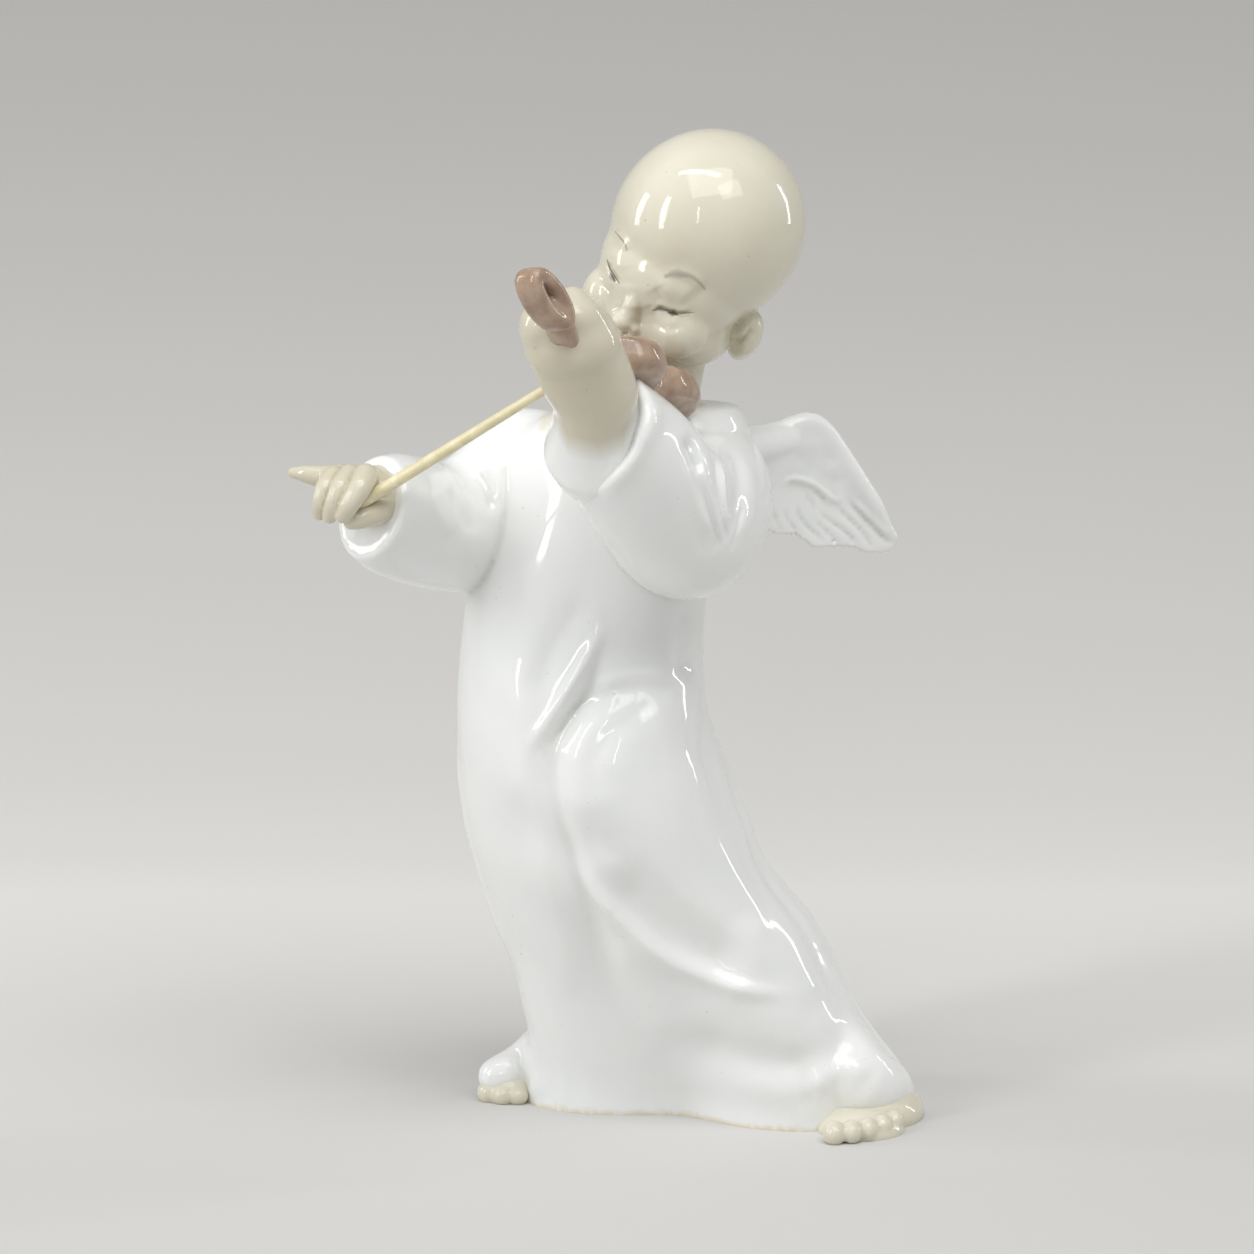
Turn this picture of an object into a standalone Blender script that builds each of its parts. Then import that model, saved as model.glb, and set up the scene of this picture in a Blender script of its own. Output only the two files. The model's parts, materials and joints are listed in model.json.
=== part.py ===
"""Glazed porcelain figurine of a bald child angel in a long robe that plays a violin, with its loose bow.

Run with: blender --background --python part.py
World: metres, +Z up, the figure's front towards -Y. The tables below are in millimetres.
The porcelain is one fused piece, angel_figurine. The bow is a loose stick, violin_bow.
"""

import math

import bmesh
import bpy
import numpy as np
from mathutils import Matrix, Vector

MM = 0.001

# The origin of the part: the middle of its foot, from the plumb line that the tables are measured from
FOOT_CENTRE = (2.0, 10.0, 0.0)

# The elevation drawings that the folds, feathers and eyelids are drawn on, as an eye sees the figure
EYE_DISTANCE = 900.0
EYE_ELEVATION = 9.0
EYE_TARGET = (-15.1, 0.0, 104.0)

# Main sizes: the collar above the foot, each arm from shoulder to cuff, each wing from root to tip
ROBE_HEIGHT = 150.5
LEFT_ARM_REACH = 51.0
RIGHT_ARM_REACH = 51.0
WING_LENGTH = 34.4

# Robe: height as a share of ROBE_HEIGHT, centre x and y, then eight radii from the right round by the back
ROBE_SECTIONS = (
    (-0.0598, 2.0, 10.0, 44.5, 34.0, 25.0, 33.0, 40.0, 15.5, 15.5, 33.0),
    (0.0199, 2.0, 10.0, 44.0, 34.0, 25.0, 32.5, 38.5, 15.5, 15.5, 33.5),
    (0.0598, 1.0, 9.0, 42.0, 32.5, 25.0, 31.5, 36.5, 16.0, 16.0, 33.5),
    (0.0997, 0.0, 8.0, 38.5, 31.0, 26.0, 30.5, 36.0, 17.5, 17.0, 32.5),
    (0.1462, -2.0, 7.0, 35.8, 30.0, 26.5, 30.0, 35.5, 19.0, 19.0, 31.5),
    (0.2126, -5.7, 6.0, 34.0, 29.0, 26.0, 29.0, 34.0, 21.5, 21.0, 30.5),
    (0.2724, -9.6, 5.0, 33.0, 28.0, 26.0, 28.5, 33.0, 24.0, 23.5, 30.0),
    (0.3488, -16.0, 4.0, 30.0, 26.5, 25.5, 27.5, 30.0, 25.5, 25.5, 29.0),
    (0.4120, -19.0, 3.5, 29.4, 26.0, 25.0, 27.0, 29.4, 26.0, 26.0, 28.5),
    (0.4983, -22.3, 3.0, 27.7, 25.0, 24.5, 26.5, 27.7, 26.0, 25.5, 27.0),
    (0.5980, -24.6, 3.0, 26.0, 23.5, 23.5, 25.5, 26.0, 24.5, 23.5, 25.0),
    (0.7309, -23.5, 3.0, 25.1, 22.5, 22.0, 25.0, 25.1, 22.5, 21.5, 24.0),
    (0.8372, -20.0, 2.0, 26.0, 21.0, 20.0, 25.0, 26.0, 21.0, 20.0, 25.0),
    (0.9169, -16.0, 2.0, 26.5, 20.5, 18.5, 24.0, 27.5, 19.5, 18.0, 24.5),
    (0.9701, -12.5, 1.5, 22.5, 17.5, 16.0, 20.0, 23.5, 16.5, 15.5, 20.5),
    (1.0000, -10.0, 1.0, 18.0, 14.0, 13.0, 14.5, 15.0, 11.5, 12.0, 16.0),
)
THIGH = (
    (-12.0, -5.0, 88.0, 12.5), (-14.0, -9.5, 73.0, 15.5), (-4.0, -8.0, 52.0, 13.5), (11.0, -6.0, 32.0, 10.5),
)
RIGHT_HEM = ((-30.0, 17.0, 9.0, 8.5), (-37.0, 14.5, 6.3, 5.8), (-43.0, 12.0, 5.0, 4.2))
LEFT_HEM = ((20.0, 3.0, 21.0, 10.5), (28.0, -2.5, 13.5, 9.2), (33.5, -6.0, 8.4, 8.4), (38.2, 0.5, 4.6, 7.6))

# Shoulders, from the collar's height
LEFT_SHOULDER = (-6.0, 5.0, -13.5)
RIGHT_SHOULDER = (-28.0, 7.0, -13.5)

# Sleeves: way from the shoulder in shares of the arm's reach, half width and height, then turn, rise and roll
LEFT_SLEEVE = (
    (0.000, 0.000, 0.000, 11.0, 11.0, -60.0, 0.0, 0.0),
    (0.108, -0.118, -0.059, 14.5, 14.5, -25.0, -10.0, 0.0),
    (0.108, -0.333, -0.147, 14.5, 16.5, 10.0, -5.0, 0.0),
    (0.010, -0.569, -0.127, 14.5, 16.5, 30.0, 8.0, 0.0),
    (-0.118, -0.765, 0.045, 14.0, 15.8, 43.0, 17.0, 0.0),
    (-0.268, -0.951, 0.247, 13.0, 12.7, 53.0, 22.5, -11.5),
)
RIGHT_SLEEVE = (
    (0.000, 0.000, 0.000, 11.0, 11.0, 75.0, 0.0, 0.0),
    (-0.196, -0.020, -0.098, 12.0, 16.5, 78.0, -8.0, 0.0),
    (-0.431, -0.137, -0.231, 12.5, 13.8, 62.0, -8.0, 0.0),
    (-0.569, -0.314, -0.196, 12.0, 13.4, 45.0, 4.0, 0.0),
    (-0.686, -0.549, -0.129, 11.2, 12.4, 44.0, 14.0, 0.0),
    (-0.745, -0.667, -0.090, 9.8, 10.8, 46.0, 18.0, 0.0),
)
CUFF_LIP = 1.8
LEFT_CUFF_DEPTH = 0.3
RIGHT_CUFF_DEPTH = 0.6
CUFF_TAPER = 5.5

# Left arm and hand, from the middle of the left cuff: x, y, z and radius, or x, y, z and three radii
LEFT_FOREARM = (
    (5.0, 12.0, -8.5, 8.6), (-1.6, -0.5, 0.4, 7.8), (-1.6, -8.5, 7.9, 8.5), (-4.2, -12.5, 14.1, 9.1),
    (-6.0, -16.0, 20.0, 8.8),
)
LEFT_PALM = (-6.3, -18.0, 19.4)
LEFT_HAND = (
    (-6.0, -16.5, 18.5, 9.4, 8.5, 8.0),
    (-7.3, -17.5, 23.5, 8.2, 8.0, 6.0),
    (-5.6, -18.0, 26.2, 3.6, 4.4, 3.9),
    (-11.5, -18.0, 22.0, 4.8, 6.0, 5.5),
)

# Right hand, from the middle of the right cuff
RIGHT_WRIST = ((4.0, 9.0, 0.5, 6.6), (0.5, 1.0, 2.6, 6.2))
RIGHT_PALM = (
    (-1.2, -1.5, 3.2, 7.2, 5.2, 5.4),
    (-3.6, -2.0, 4.8, 5.2, 4.4, 4.2),
    (3.2, -0.5, 2.2, 4.6, 4.6, 4.4),
)
RIGHT_FINGERS = (
    ((-0.9, -7.0, 7.3, 2.6), (-1.8, -10.5, 5.4, 2.3), (-3.6, -11.8, 2.5, 2.0), (-5.2, -10.8, 0.0, 1.8)),
    ((-4.2, -5.5, 7.3, 2.3), (-5.9, -9.5, 5.3, 2.0), (-7.1, -10.3, 2.2, 1.8), (-7.9, -9.3, -0.4, 1.6)),
    ((-7.5, -3.5, 6.9, 2.1), (-9.1, -6.5, 4.9, 1.9), (-9.9, -7.5, 2.2, 1.7), (-10.2, -6.6, -0.2, 1.5)),
    ((-6.3, -1.5, 6.3, 2.8), (-10.1, -1.0, 6.4, 2.3), (-13.4, -0.5, 6.9, 1.8), (-15.8, 0.0, 7.1, 1.2)),
    ((4.3, -1.0, 2.6, 3.0), (1.5, -5.5, -0.1, 2.6), (-1.8, -8.5, -1.1, 2.1), (-3.7, -9.3, -1.5, 1.7)),
)

# Head: centre of the skull from the collar's height, how it is held, then blobs in its left, up and forward
HEAD_CENTRE = (1.4, -5.0, 36.5)
HEAD_TURN = 30.0
HEAD_NOD = 6.0
HEAD_TILT = 28.0
HEAD_FORMS = (
    (0.0, 0.0, 0.0, 19.4, 20.3, 21.3),
    (0.0, -9.0, 6.0, 16.2, 14.5, 16.0),
    (0.0, -18.0, 9.0, 11.5, 9.0, 12.0),
    (8.0, -16.0, 14.0, 7.0, 6.5, 7.0),
    (-8.0, -16.0, 14.0, 7.0, 6.5, 7.0),
    (9.0, -18.5, 5.5, 7.0, 7.0, 9.0),
    (-7.6, -18.5, 5.5, 6.6, 7.0, 8.4),
    (0.0, -23.5, 16.0, 5.0, 4.0, 4.5),
)
NOSE_FORMS = (
    (-0.3, -18.0, 21.6, 2.3, 2.0, 2.6),
    (2.1, -18.6, 20.2, 1.4, 1.2, 1.6),
    (-2.1, -18.6, 20.2, 1.4, 1.2, 1.6),
)
NOSE_BRIDGE = ((0.0, -10.0, 19.3, 1.8), (0.0, -16.5, 21.3, 1.8))
LEFT_EAR = (15.4, -17.6, -3.8)
RIGHT_EAR = (-15.2, -16.0, -2.5)
EAR = (3.4, 7.4, 4.9)
EAR_TURN = 24.0
EAR_LEAN = 42.0
NECK_FOOT = (-9.0, -1.0, -7.5)
NECK_TOP = (0.0, -13.0, -1.0)
NECK_RADIUS = 7.0
CHEST = (19.0, 12.5, 9.0)

# Feet: the left foot, then the toes of both and what shows of the right foot, each as x, y, z and three radii
LEFT_FOOT = ((33.0, -1.0, 1.5, 14.5, 14.0, 6.8), (33.5, -12.0, 0.4, 9.3, 9.6, 4.4))
FOOT_FORMS = (
    (27.6, -22.2, 2.0, 2.5, 3.0, 2.6),
    (31.2, -21.6, 2.1, 2.2, 2.9, 2.5),
    (34.6, -19.8, 2.2, 2.1, 2.8, 2.4),
    (37.8, -17.2, 2.3, 2.0, 2.7, 2.3),
    (40.6, -13.8, 2.4, 1.9, 2.6, 2.3),
    (-40.5, 12.0, 1.8, 6.0, 4.6, 4.6),
    (-44.6, 10.8, 1.8, 2.6, 2.8, 2.5),
    (-41.6, 8.6, 1.7, 2.5, 2.4, 2.2),
    (-38.4, 8.4, 1.6, 2.4, 2.2, 2.0),
)

# Violin: the tail button from the collar's height, and the sizes of its parts. Its neck runs to the left palm
VIOLIN_TAIL = (-9.5, -10.0, -1.0)
VIOLIN_ROLL = 15.0
BODY_LENGTH = 42.0
LOWER_BOUT = 12.0
WAIST = 7.5
UPPER_BOUT = 12.0
RIB_HEIGHT = 8.5
NECK_HALF = 2.6
NECK_RISE = 1.5
SQUARENESS = 0.6
NECK_PAST_PALM = 4.0
# Half widths of the body: share of its length, and share of the bout or waist named
BODY_OUTLINE = (
    (0.0, 0.04, "LOWER"), (0.036, 0.72, "LOWER"), (0.143, 0.97, "LOWER"), (0.262, 1.0, "LOWER"),
    (0.393, 0.88, "LOWER"), (0.488, 1.0, "WAIST"), (0.583, 1.0, "WAIST"), (0.667, 0.9, "UPPER"),
    (0.774, 1.0, "UPPER"), (0.881, 0.95, "UPPER"), (0.964, 0.7, "UPPER"), (1.0, 0.04, "UPPER"),
)
# Pegbox and scroll, from the left palm
PEGBOX_PLACE = (-4.4, -17.5, 9.4)
PEGBOX_WAY = (-0.5, -0.5, 0.78)
PEGBOX_SIDE = (0.82, -0.55, 0.05)
PEGBOX_LENGTH = 15.0
PEGBOX_HEIGHT = 7.8
PEGBOX_WIDTH = 6.0
PEGBOX_WALL = 2.8
PEGBOX_HEEL = (-2.6, -11.5, 5.1)
PEGBOX_HEEL_SIZE = (3.3, 2.2, 7.5)

# Bow: a straight tapered stick. Its butt is placed from the right cuff and its tip from the left cuff
BOW_BUTT = (-3.7, -7.5, 0.9)
BOW_TIP = (-10.1, 1.5, 9.0)
BOW_BUTT_DIAMETER = 2.7
BOW_TIP_DIAMETER = 1.9
BOW_CLEARANCE = 0.3

# Wing: reach as a share of WING_LENGTH, then top and bottom from the collar's height
WING = (
    (-0.09, -5.5, -27.7), (-0.03, -5.5, -27.7), (0.03, -5.5, -27.8), (0.09, -5.3, -28.9), (0.15, -5.1, -29.7),
    (0.20, -4.6, -29.8), (0.26, -4.2, -30.1), (0.32, -4.0, -31.1), (0.38, -4.2, -32.6), (0.44, -4.9, -33.2),
    (0.49, -6.5, -33.3), (0.55, -8.7, -33.4), (0.61, -11.4, -33.4), (0.67, -14.2, -33.5),
    (0.73, -17.1, -34.3),
    (0.78, -19.8, -34.9), (0.84, -22.6, -35.1), (0.90, -25.6, -35.2), (0.96, -29.0, -34.6),
    (1.00, -31.4, -33.2),
)
WING_THICKNESS = 6.6
WING_ROOT_RADIUS = 4.6
WING_ROOT_TUCK = 9.0
WING_ROOT_REACH = 7.0
WING_ROOT_DROP = (11.0, 9.5)
WING_EDGE = 1.0
WING_THINNING = 0.55
WING_BAND = 0.66
WING_BAND_SPREAD = 0.5
LEFT_WING_ROOT = (12.0, 13.0)
LEFT_WING_TURN = 28.0
RIGHT_WING_ROOT = (-21.0, 21.0)
RIGHT_WING_TURN = 102.0

# Relief drawn as strokes, each a path, a half width and a height. Robe paths are shares of ROBE_HEIGHT.
ROBE_FOLDS = (
    (((-0.130, 0.698), (-0.156, 0.649), (-0.187, 0.592), (-0.218, 0.545), (-0.236, 0.514)), 1.5, 2.0),
    (((-0.151, 0.752), (-0.187, 0.690), (-0.218, 0.628), (-0.236, 0.576)), 3.0, -0.9),
    (((-0.130, 0.649), (-0.156, 0.602), (-0.182, 0.560), (-0.208, 0.524)), 2.2, -1.3),
    (((-0.179, 0.493), (-0.151, 0.544), (-0.114, 0.575), (-0.073, 0.596), (-0.045, 0.606)), 2.3, 1.7),
    (((-0.207, 0.514), (-0.187, 0.560), (-0.156, 0.589), (-0.114, 0.605), (-0.068, 0.611),
      (-0.040, 0.614)), 2.6, -1.9),
    (((-0.151, 0.608), (-0.109, 0.621), (-0.068, 0.625), (-0.031, 0.618)), 1.1, 0.7),
    (((-0.196, 0.493), (-0.193, 0.452), (-0.189, 0.410), (-0.182, 0.374)), 2.6, -1.8),
    (((-0.177, 0.384), (-0.151, 0.335), (-0.125, 0.305), (-0.088, 0.270), (-0.047, 0.238),
      (0.005, 0.213), (0.072, 0.192), (0.140, 0.182)), 1.7, 2.0),
    (((-0.130, 0.369), (-0.099, 0.327), (-0.047, 0.281), (0.005, 0.247), (0.072, 0.216)), 4.5, -2.3),
    (((-0.179, 0.364), (-0.165, 0.317), (-0.143, 0.249), (-0.117, 0.187), (-0.099, 0.143)), 3.0, -2.3),
    (((-0.119, 0.270), (-0.088, 0.218), (-0.057, 0.167), (-0.037, 0.110)), 4.0, 0.9),
    (((-0.026, 0.143), (0.015, 0.117), (0.072, 0.097), (0.134, 0.089), (0.181, 0.107)), 3.6, -1.9),
    (((0.005, 0.200), (0.072, 0.174), (0.140, 0.154), (0.202, 0.115)), 4.0, 0.8),
    (((0.057, 0.301), (0.083, 0.249), (0.124, 0.208), (0.166, 0.161)), 4.0, 1.0),
    (((-0.247, 0.141), (-0.236, 0.104), (-0.228, 0.063), (-0.222, 0.037)), 1.8, 1.0),
    (((-0.256, 0.120), (-0.247, 0.084), (-0.243, 0.047)), 1.6, -1.3),
    (((-0.252, 0.654), (-0.246, 0.576), (-0.252, 0.493), (-0.249, 0.421)), 3.5, 0.8),
    (((0.147, 0.045), (0.176, 0.076), (0.207, 0.084), (0.233, 0.063)), 2.4, 1.0),
    (((0.140, 0.084), (0.153, 0.058), (0.140, 0.021)), 2.0, -0.4),
    (((-0.234, 0.421), (-0.213, 0.343), (-0.192, 0.265), (-0.177, 0.161)), 4.0, 0.7),
    (((-0.016, 0.726), (-0.018, 0.669), (-0.021, 0.612)), 2.2, -0.9),
)

# The same from behind, and from the viewer's right and left
BACK_FOLDS = (
    (((0.115, 0.07), (0.135, 0.26), (0.165, 0.46), (0.175, 0.62)), 2.6, 1.3),
    (((0.040, 0.05), (0.070, 0.25), (0.115, 0.45), (0.140, 0.62)), 3.2, -1.6),
    (((-0.050, 0.05), (0.000, 0.22), (0.060, 0.42), (0.100, 0.60)), 3.0, 1.4),
    (((-0.140, 0.05), (-0.080, 0.20), (0.005, 0.38), (0.060, 0.54)), 3.4, -1.6),
    (((-0.220, 0.05), (-0.160, 0.16), (-0.070, 0.32), (0.020, 0.46)), 3.0, 1.2),
    (((0.190, 0.08), (0.205, 0.26), (0.215, 0.44), (0.215, 0.60)), 2.8, -1.2),
    (((0.120, 0.93), (0.105, 0.84), (0.110, 0.74)), 3.4, -1.4),
)
RIGHT_SIDE_FOLDS = (
    (((-0.030, 0.06), (-0.020, 0.20), (0.000, 0.36), (0.015, 0.52)), 3.2, -1.3),
    (((0.060, 0.05), (0.055, 0.22), (0.050, 0.40), (0.040, 0.56)), 2.8, 1.1),
    (((0.150, 0.05), (0.130, 0.22), (0.110, 0.38)), 3.0, -1.2),
)
LEFT_SIDE_FOLDS = (
    (((-0.120, 0.10), (-0.110, 0.28), (-0.090, 0.46)), 3.0, -1.2),
    (((-0.040, 0.16), (-0.035, 0.34), (-0.030, 0.52)), 3.2, 1.1),
)
# Sleeve, face and feather paths are drawn from the collar's height
SLEEVE_FOLDS = (
    (((-0.3, -8.5), (1.6, -13.8), (3.3, -21.2), (5.0, -29.5)), 0.9, 0.55),
    (((4.1, -7.5), (5.5, -12.4), (5.0, -21.2), (5.3, -29.0)), 1.0, 0.6),
    (((7.5, -10.9), (10.4, -15.3), (10.7, -22.2), (7.5, -29.0)), 1.2, 0.7),
    (((-3.3, -11.4), (-1.3, -19.7), (2.6, -28.0)), 0.9, 0.5),
    (((-1.7, -9.9), (0.2, -17.3), (3.8, -27.0)), 0.8, -0.5),
    (((1.9, -8.0), (3.8, -14.8), (4.3, -24.6)), 0.9, -0.6),
    (((5.8, -8.9), (8.0, -14.8), (7.7, -23.1), (6.0, -29.0)), 1.1, -0.7),
    (((-2.8, -6.5), (-0.8, -10.9), (0.2, -14.8)), 1.4, -1.2),
    (((12.6, -2.6), (14.8, -8.9), (15.3, -15.3), (13.4, -24.6)), 1.3, -0.9),
    (((-21.9, -19.8), (-17.9, -15.6), (-14.0, -10.9), (-10.4, -4.5), (-10.1, -0.6),
      (-12.1, 3.8)), 2.2, 1.0),
    (((-25.3, -17.3), (-20.9, -15.3), (-16.0, -9.9), (-13.1, -5.5)), 2.6, -1.0),
    (((4.6, -30.5), (2.6, -29.0), (-1.3, -30.0)), 3.0, -0.5),
)

RIGHT_SLEEVE_FOLDS = (
    (((-52.0, -16.5), (-49.5, -21.5), (-46.5, -27.5)), 1.6, -0.8),
    (((-57.0, -16.0), (-55.0, -22.0), (-51.5, -28.5)), 1.8, 0.7),
    (((-46.0, -13.5), (-44.0, -17.5), (-43.0, -23.0)), 1.6, -1.0),
)
FACE_LINES = (
    (((-7.1, 25.9), (-5.5, 26.7), (-3.6, 26.7), (-1.7, 26.1), (-0.1, 24.9), (1.0, 23.6)), 1.3, 0.35),
    (((-8.7, 22.0), (-6.1, 23.6), (-3.6, 23.6), (-1.4, 21.7)), 3.2, 0.68),
    (((-9.6, 19.6), (-8.0, 20.3), (-6.1, 19.8), (-3.9, 19.3), (-1.7, 19.1)), 0.8, 0.32),
    (((-9.8, 19.1), (-8.2, 19.6), (-6.6, 19.1), (-4.9, 18.6), (-3.0, 18.6), (-1.2, 18.7)), 0.42, -0.75),
    (((-9.6, 17.9), (-8.0, 17.6), (-6.1, 17.2), (-3.9, 17.6)), 0.9, 0.17),
    (((-10.7, 17.6), (-8.7, 16.0), (-6.8, 15.2), (-4.6, 15.5), (-2.7, 16.3)), 0.7, -0.18),
    (((-11.2, 20.1), (-10.4, 18.8), (-10.0, 17.6)), 1.2, -0.25),
    (((-9.6, 23.9), (-8.7, 22.0), (-10.0, 20.1)), 2.2, -0.30),
    (((-17.6, 35.5), (-16.5, 34.2), (-15.6, 33.0), (-15.1, 31.5)), 1.2, 0.30),
    (((-19.2, 29.6), (-18.7, 28.0), (-17.9, 26.6), (-16.7, 24.8)), 0.42, -0.70),
    (((-18.2, 31.8), (-17.1, 29.6), (-16.3, 27.1)), 2.0, 0.21),
    (((-19.9, 27.4), (-19.2, 25.5), (-17.6, 24.2)), 0.9, 0.20),
    (((-20.9, 25.7), (-19.5, 23.8), (-17.6, 23.1)), 0.6, -0.14),
    (((-15.0, 25.2), (-15.3, 22.0), (-16.0, 19.1)), 2.0, 0.30),
    (((-13.1, 20.1), (-12.5, 17.6), (-12.6, 15.7)), 1.4, -0.35),
    (((-16.1, 14.5), (-15.5, 14.2), (-15.0, 14.0)), 0.6, -0.90),
    (((-13.4, 17.2), (-12.5, 16.0), (-12.8, 13.8), (-14.4, 12.8)), 0.6, -0.25),
    (((-15.3, 12.8), (-15.0, 11.5)), 1.2, -0.16),
    (((-8.7, 12.5), (-4.9, 11.9), (-1.7, 13.1)), 4.5, 0.21),
    (((6.5, 11.4), (8.0, 12.8), (9.9, 14.4), (11.6, 15.7)), 1.15, -1.18),
    (((13.1, 17.6), (13.7, 15.0), (12.6, 12.5), (10.0, 10.7), (6.9, 9.6)), 0.8, 0.50),
    (((4.6, 9.6), (5.6, 12.2), (7.5, 15.0), (10.4, 16.9)), 0.9, -0.30),
)

FEATHERS = (
    (((3.6, -6.9), (8.3, -5.9), (12.5, -5.6), (16.2, -7.6), (19.4, -11.5), (24.3, -18.4),
      (29.8, -25.9), (33.3, -30.8)), 1.6, 0.9),
    (((7.0, -12.8), (10.7, -13.0), (14.7, -13.3), (18.4, -15.3)), 2.4, -0.55),
    (((9.4, -15.3), (13.1, -15.9), (16.8, -18.0), (20.3, -19.6)), 1.6, -0.4),
    (((4.4, -19.1), (7.1, -17.4), (10.2, -17.8), (13.1, -18.9), (16.3, -21.2), (18.5, -22.7),
      (20.9, -21.5)), 0.45, 0.59),
    (((20.9, -21.7), (23.8, -25.1), (27.4, -28.3), (31.2, -31.8), (33.9, -33.2)), 0.4, -0.77),
    (((17.9, -22.9), (21.2, -26.1), (25.0, -29.6), (27.7, -32.8), (29.0, -34.7)), 0.4, -0.68),
    (((14.2, -24.3), (17.4, -27.0), (21.2, -29.6), (23.6, -31.8), (25.0, -34.0)), 0.4, -0.68),
    (((13.2, -26.5), (16.4, -29.0), (19.4, -31.8), (20.7, -33.3)), 0.4, -0.68),
    (((8.9, -22.4), (10.0, -25.4), (12.2, -28.1), (14.8, -30.1), (17.0, -32.3)), 0.4, -0.68),
    (((6.3, -22.7), (6.9, -25.2), (8.4, -27.6), (10.8, -30.3)), 0.4, -0.59),
    (((3.7, -23.2), (4.2, -25.5), (5.6, -27.9), (6.6, -29.6)), 0.4, -0.51),
    (((13.1, -20.1), (15.3, -22.0), (15.8, -23.9)), 0.35, -0.51),
    (((11.0, -20.9), (13.2, -23.3), (13.2, -25.1)), 0.35, -0.51),
    (((22.2, -22.5), (26.0, -25.9), (29.8, -29.4), (32.8, -31.7)), 0.5, 0.42),
)

# How a stroke fades where the surface turns from the eye, and towards its two ends
SEEN_FROM = 0.05
SEEN_OVER = 0.4
STROKE_END = 0.25

# Fineness of the skins, and how far each kind of joint is softened
VOXEL = 0.8
JOIN_VOXEL = 0.7
FINE_VOXEL = 0.6
SKIN_SOFT = 1.8
HAND_SOFT = 2.2
SEAM_SOFT = 0.9
JOIN_SOFT = 0.6
FINGER_SOFT = 0.45
TRIANGLES = 10400
RIM_NEAR = 0.001


def smooth_rows(rows, steps, closed=False):
    """Catmull-Rom points through the rows, which may hold any count of numbers."""
    rows = np.asarray(rows, float)
    count = len(rows)
    found = []
    for i in range(count if closed else count - 1):
        if closed:
            a, b, c, d = (rows[(i + k) % count] for k in (-1, 0, 1, 2))
        else:
            b, c = rows[i], rows[i + 1]
            a = rows[i - 1] if i else 2 * b - c
            d = rows[i + 2] if i + 2 < count else 2 * c - b
        for k in range(steps):
            t = k / steps
            found.append(
                0.5 * (
                    2 * b + (c - a) * t + (2 * a - 5 * b + 4 * c - d) * t**2 + (3 * b - a - 3 * c + d) * t**3
                )
            )
    if not closed:
        found.append(rows[-1])
    return np.array(found)


def add_object(name, mesh):
    obj = bpy.data.objects.new(name, mesh)
    bpy.context.scene.collection.objects.link(obj)
    return obj


def skin(name, rings, round_trip=False):
    """A closed mesh through rings of as many points each, in millimetres, capped or joined end to end."""
    bm = bmesh.new()
    loops = [[bm.verts.new(Vector(p) * MM) for p in ring] for ring in rings]
    count = len(loops[0])
    for low, high in zip(loops, loops[1:] + loops[:1] * round_trip):
        for i in range(count):
            j = (i + 1) % count
            bm.faces.new((low[i], low[j], high[j], high[i]))
    if not round_trip:
        bm.faces.new(reversed(loops[0]))
        bm.faces.new(loops[-1])
    bmesh.ops.recalc_face_normals(bm, faces=bm.faces)
    mesh = bpy.data.meshes.new(name)
    bm.to_mesh(mesh)
    bm.free()
    return add_object(name, mesh)


def blob(name, centre, radii, axes=None):
    """An ellipsoid, with its radii along the given axes."""
    frame = Matrix.Identity(3) if axes is None else Matrix(axes).transposed()
    scale = Matrix.Diagonal([r * MM for r in radii]).to_3x3()
    place = Matrix.Translation(Vector(centre) * MM) @ (frame @ scale).to_4x4()
    bm = bmesh.new()
    bmesh.ops.create_icosphere(bm, subdivisions=4, radius=1.0, matrix=place)
    mesh = bpy.data.meshes.new(name)
    bm.to_mesh(mesh)
    bm.free()
    return add_object(name, mesh)


def limb(name, stations, sides=24):
    """A round tube with round ends through stations of x, y, z and radius."""
    path = smooth_rows(stations, 5)
    points, radii = path[:, :3], path[:, 3]
    ways = np.gradient(points, axis=0)
    ways /= np.linalg.norm(ways, axis=1)[:, None]
    turns = np.linspace(0, 2 * math.pi, sides, endpoint=False)
    side = np.cross(ways[0], (0.3, 0.5, 0.8))

    def ring(centre, way, radius):
        nonlocal side
        side = side - way * (side @ way)
        side /= np.linalg.norm(side)
        up = np.cross(way, side)
        return [centre + radius * (math.cos(t) * side + math.sin(t) * up) for t in turns]

    rings = []
    for angle in (80, 55, 28):
        lean = math.radians(angle)
        end = points[0] - ways[0] * radii[0] * math.sin(lean)
        rings.append(ring(end, ways[0], radii[0] * math.cos(lean)))
    rings += [ring(p, w, r) for p, w, r in zip(points, ways, radii)]
    for angle in (28, 55, 80):
        lean = math.radians(angle)
        end = points[-1] + ways[-1] * radii[-1] * math.sin(lean)
        rings.append(ring(end, ways[-1], radii[-1] * math.cos(lean)))
    return skin(name, rings)


def facing(turn, rise, roll):
    """The way, the wide axis and the tall axis of a ring that faces turn degrees to the viewer's left."""
    a, b, c = (math.radians(v) for v in (turn, rise, roll))
    way = np.array((-math.sin(a) * math.cos(b), -math.cos(a) * math.cos(b), math.sin(b)))
    wide = np.array((math.cos(a), -math.sin(a), 0.0))
    tall = np.cross(wide, way)
    tall = tall if tall[2] > 0 else -tall
    return way, wide * math.cos(c) - tall * math.sin(c), tall * math.cos(c) + wide * math.sin(c)


def from_collar(x, y, z):
    return np.array((x, y, z + ROBE_HEIGHT))


def sleeve_rows(shoulder, reach, stations):
    rows = np.array(stations, float)
    rows[:, :3] = rows[:, :3] * reach + from_collar(*shoulder)
    return rows


def left_cuff(offset=(0.0, 0.0, 0.0)):
    """A point given from the middle of the left cuff."""
    return sleeve_rows(LEFT_SHOULDER, LEFT_ARM_REACH, LEFT_SLEEVE)[-1, :3] + np.array(offset[:3])


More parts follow.
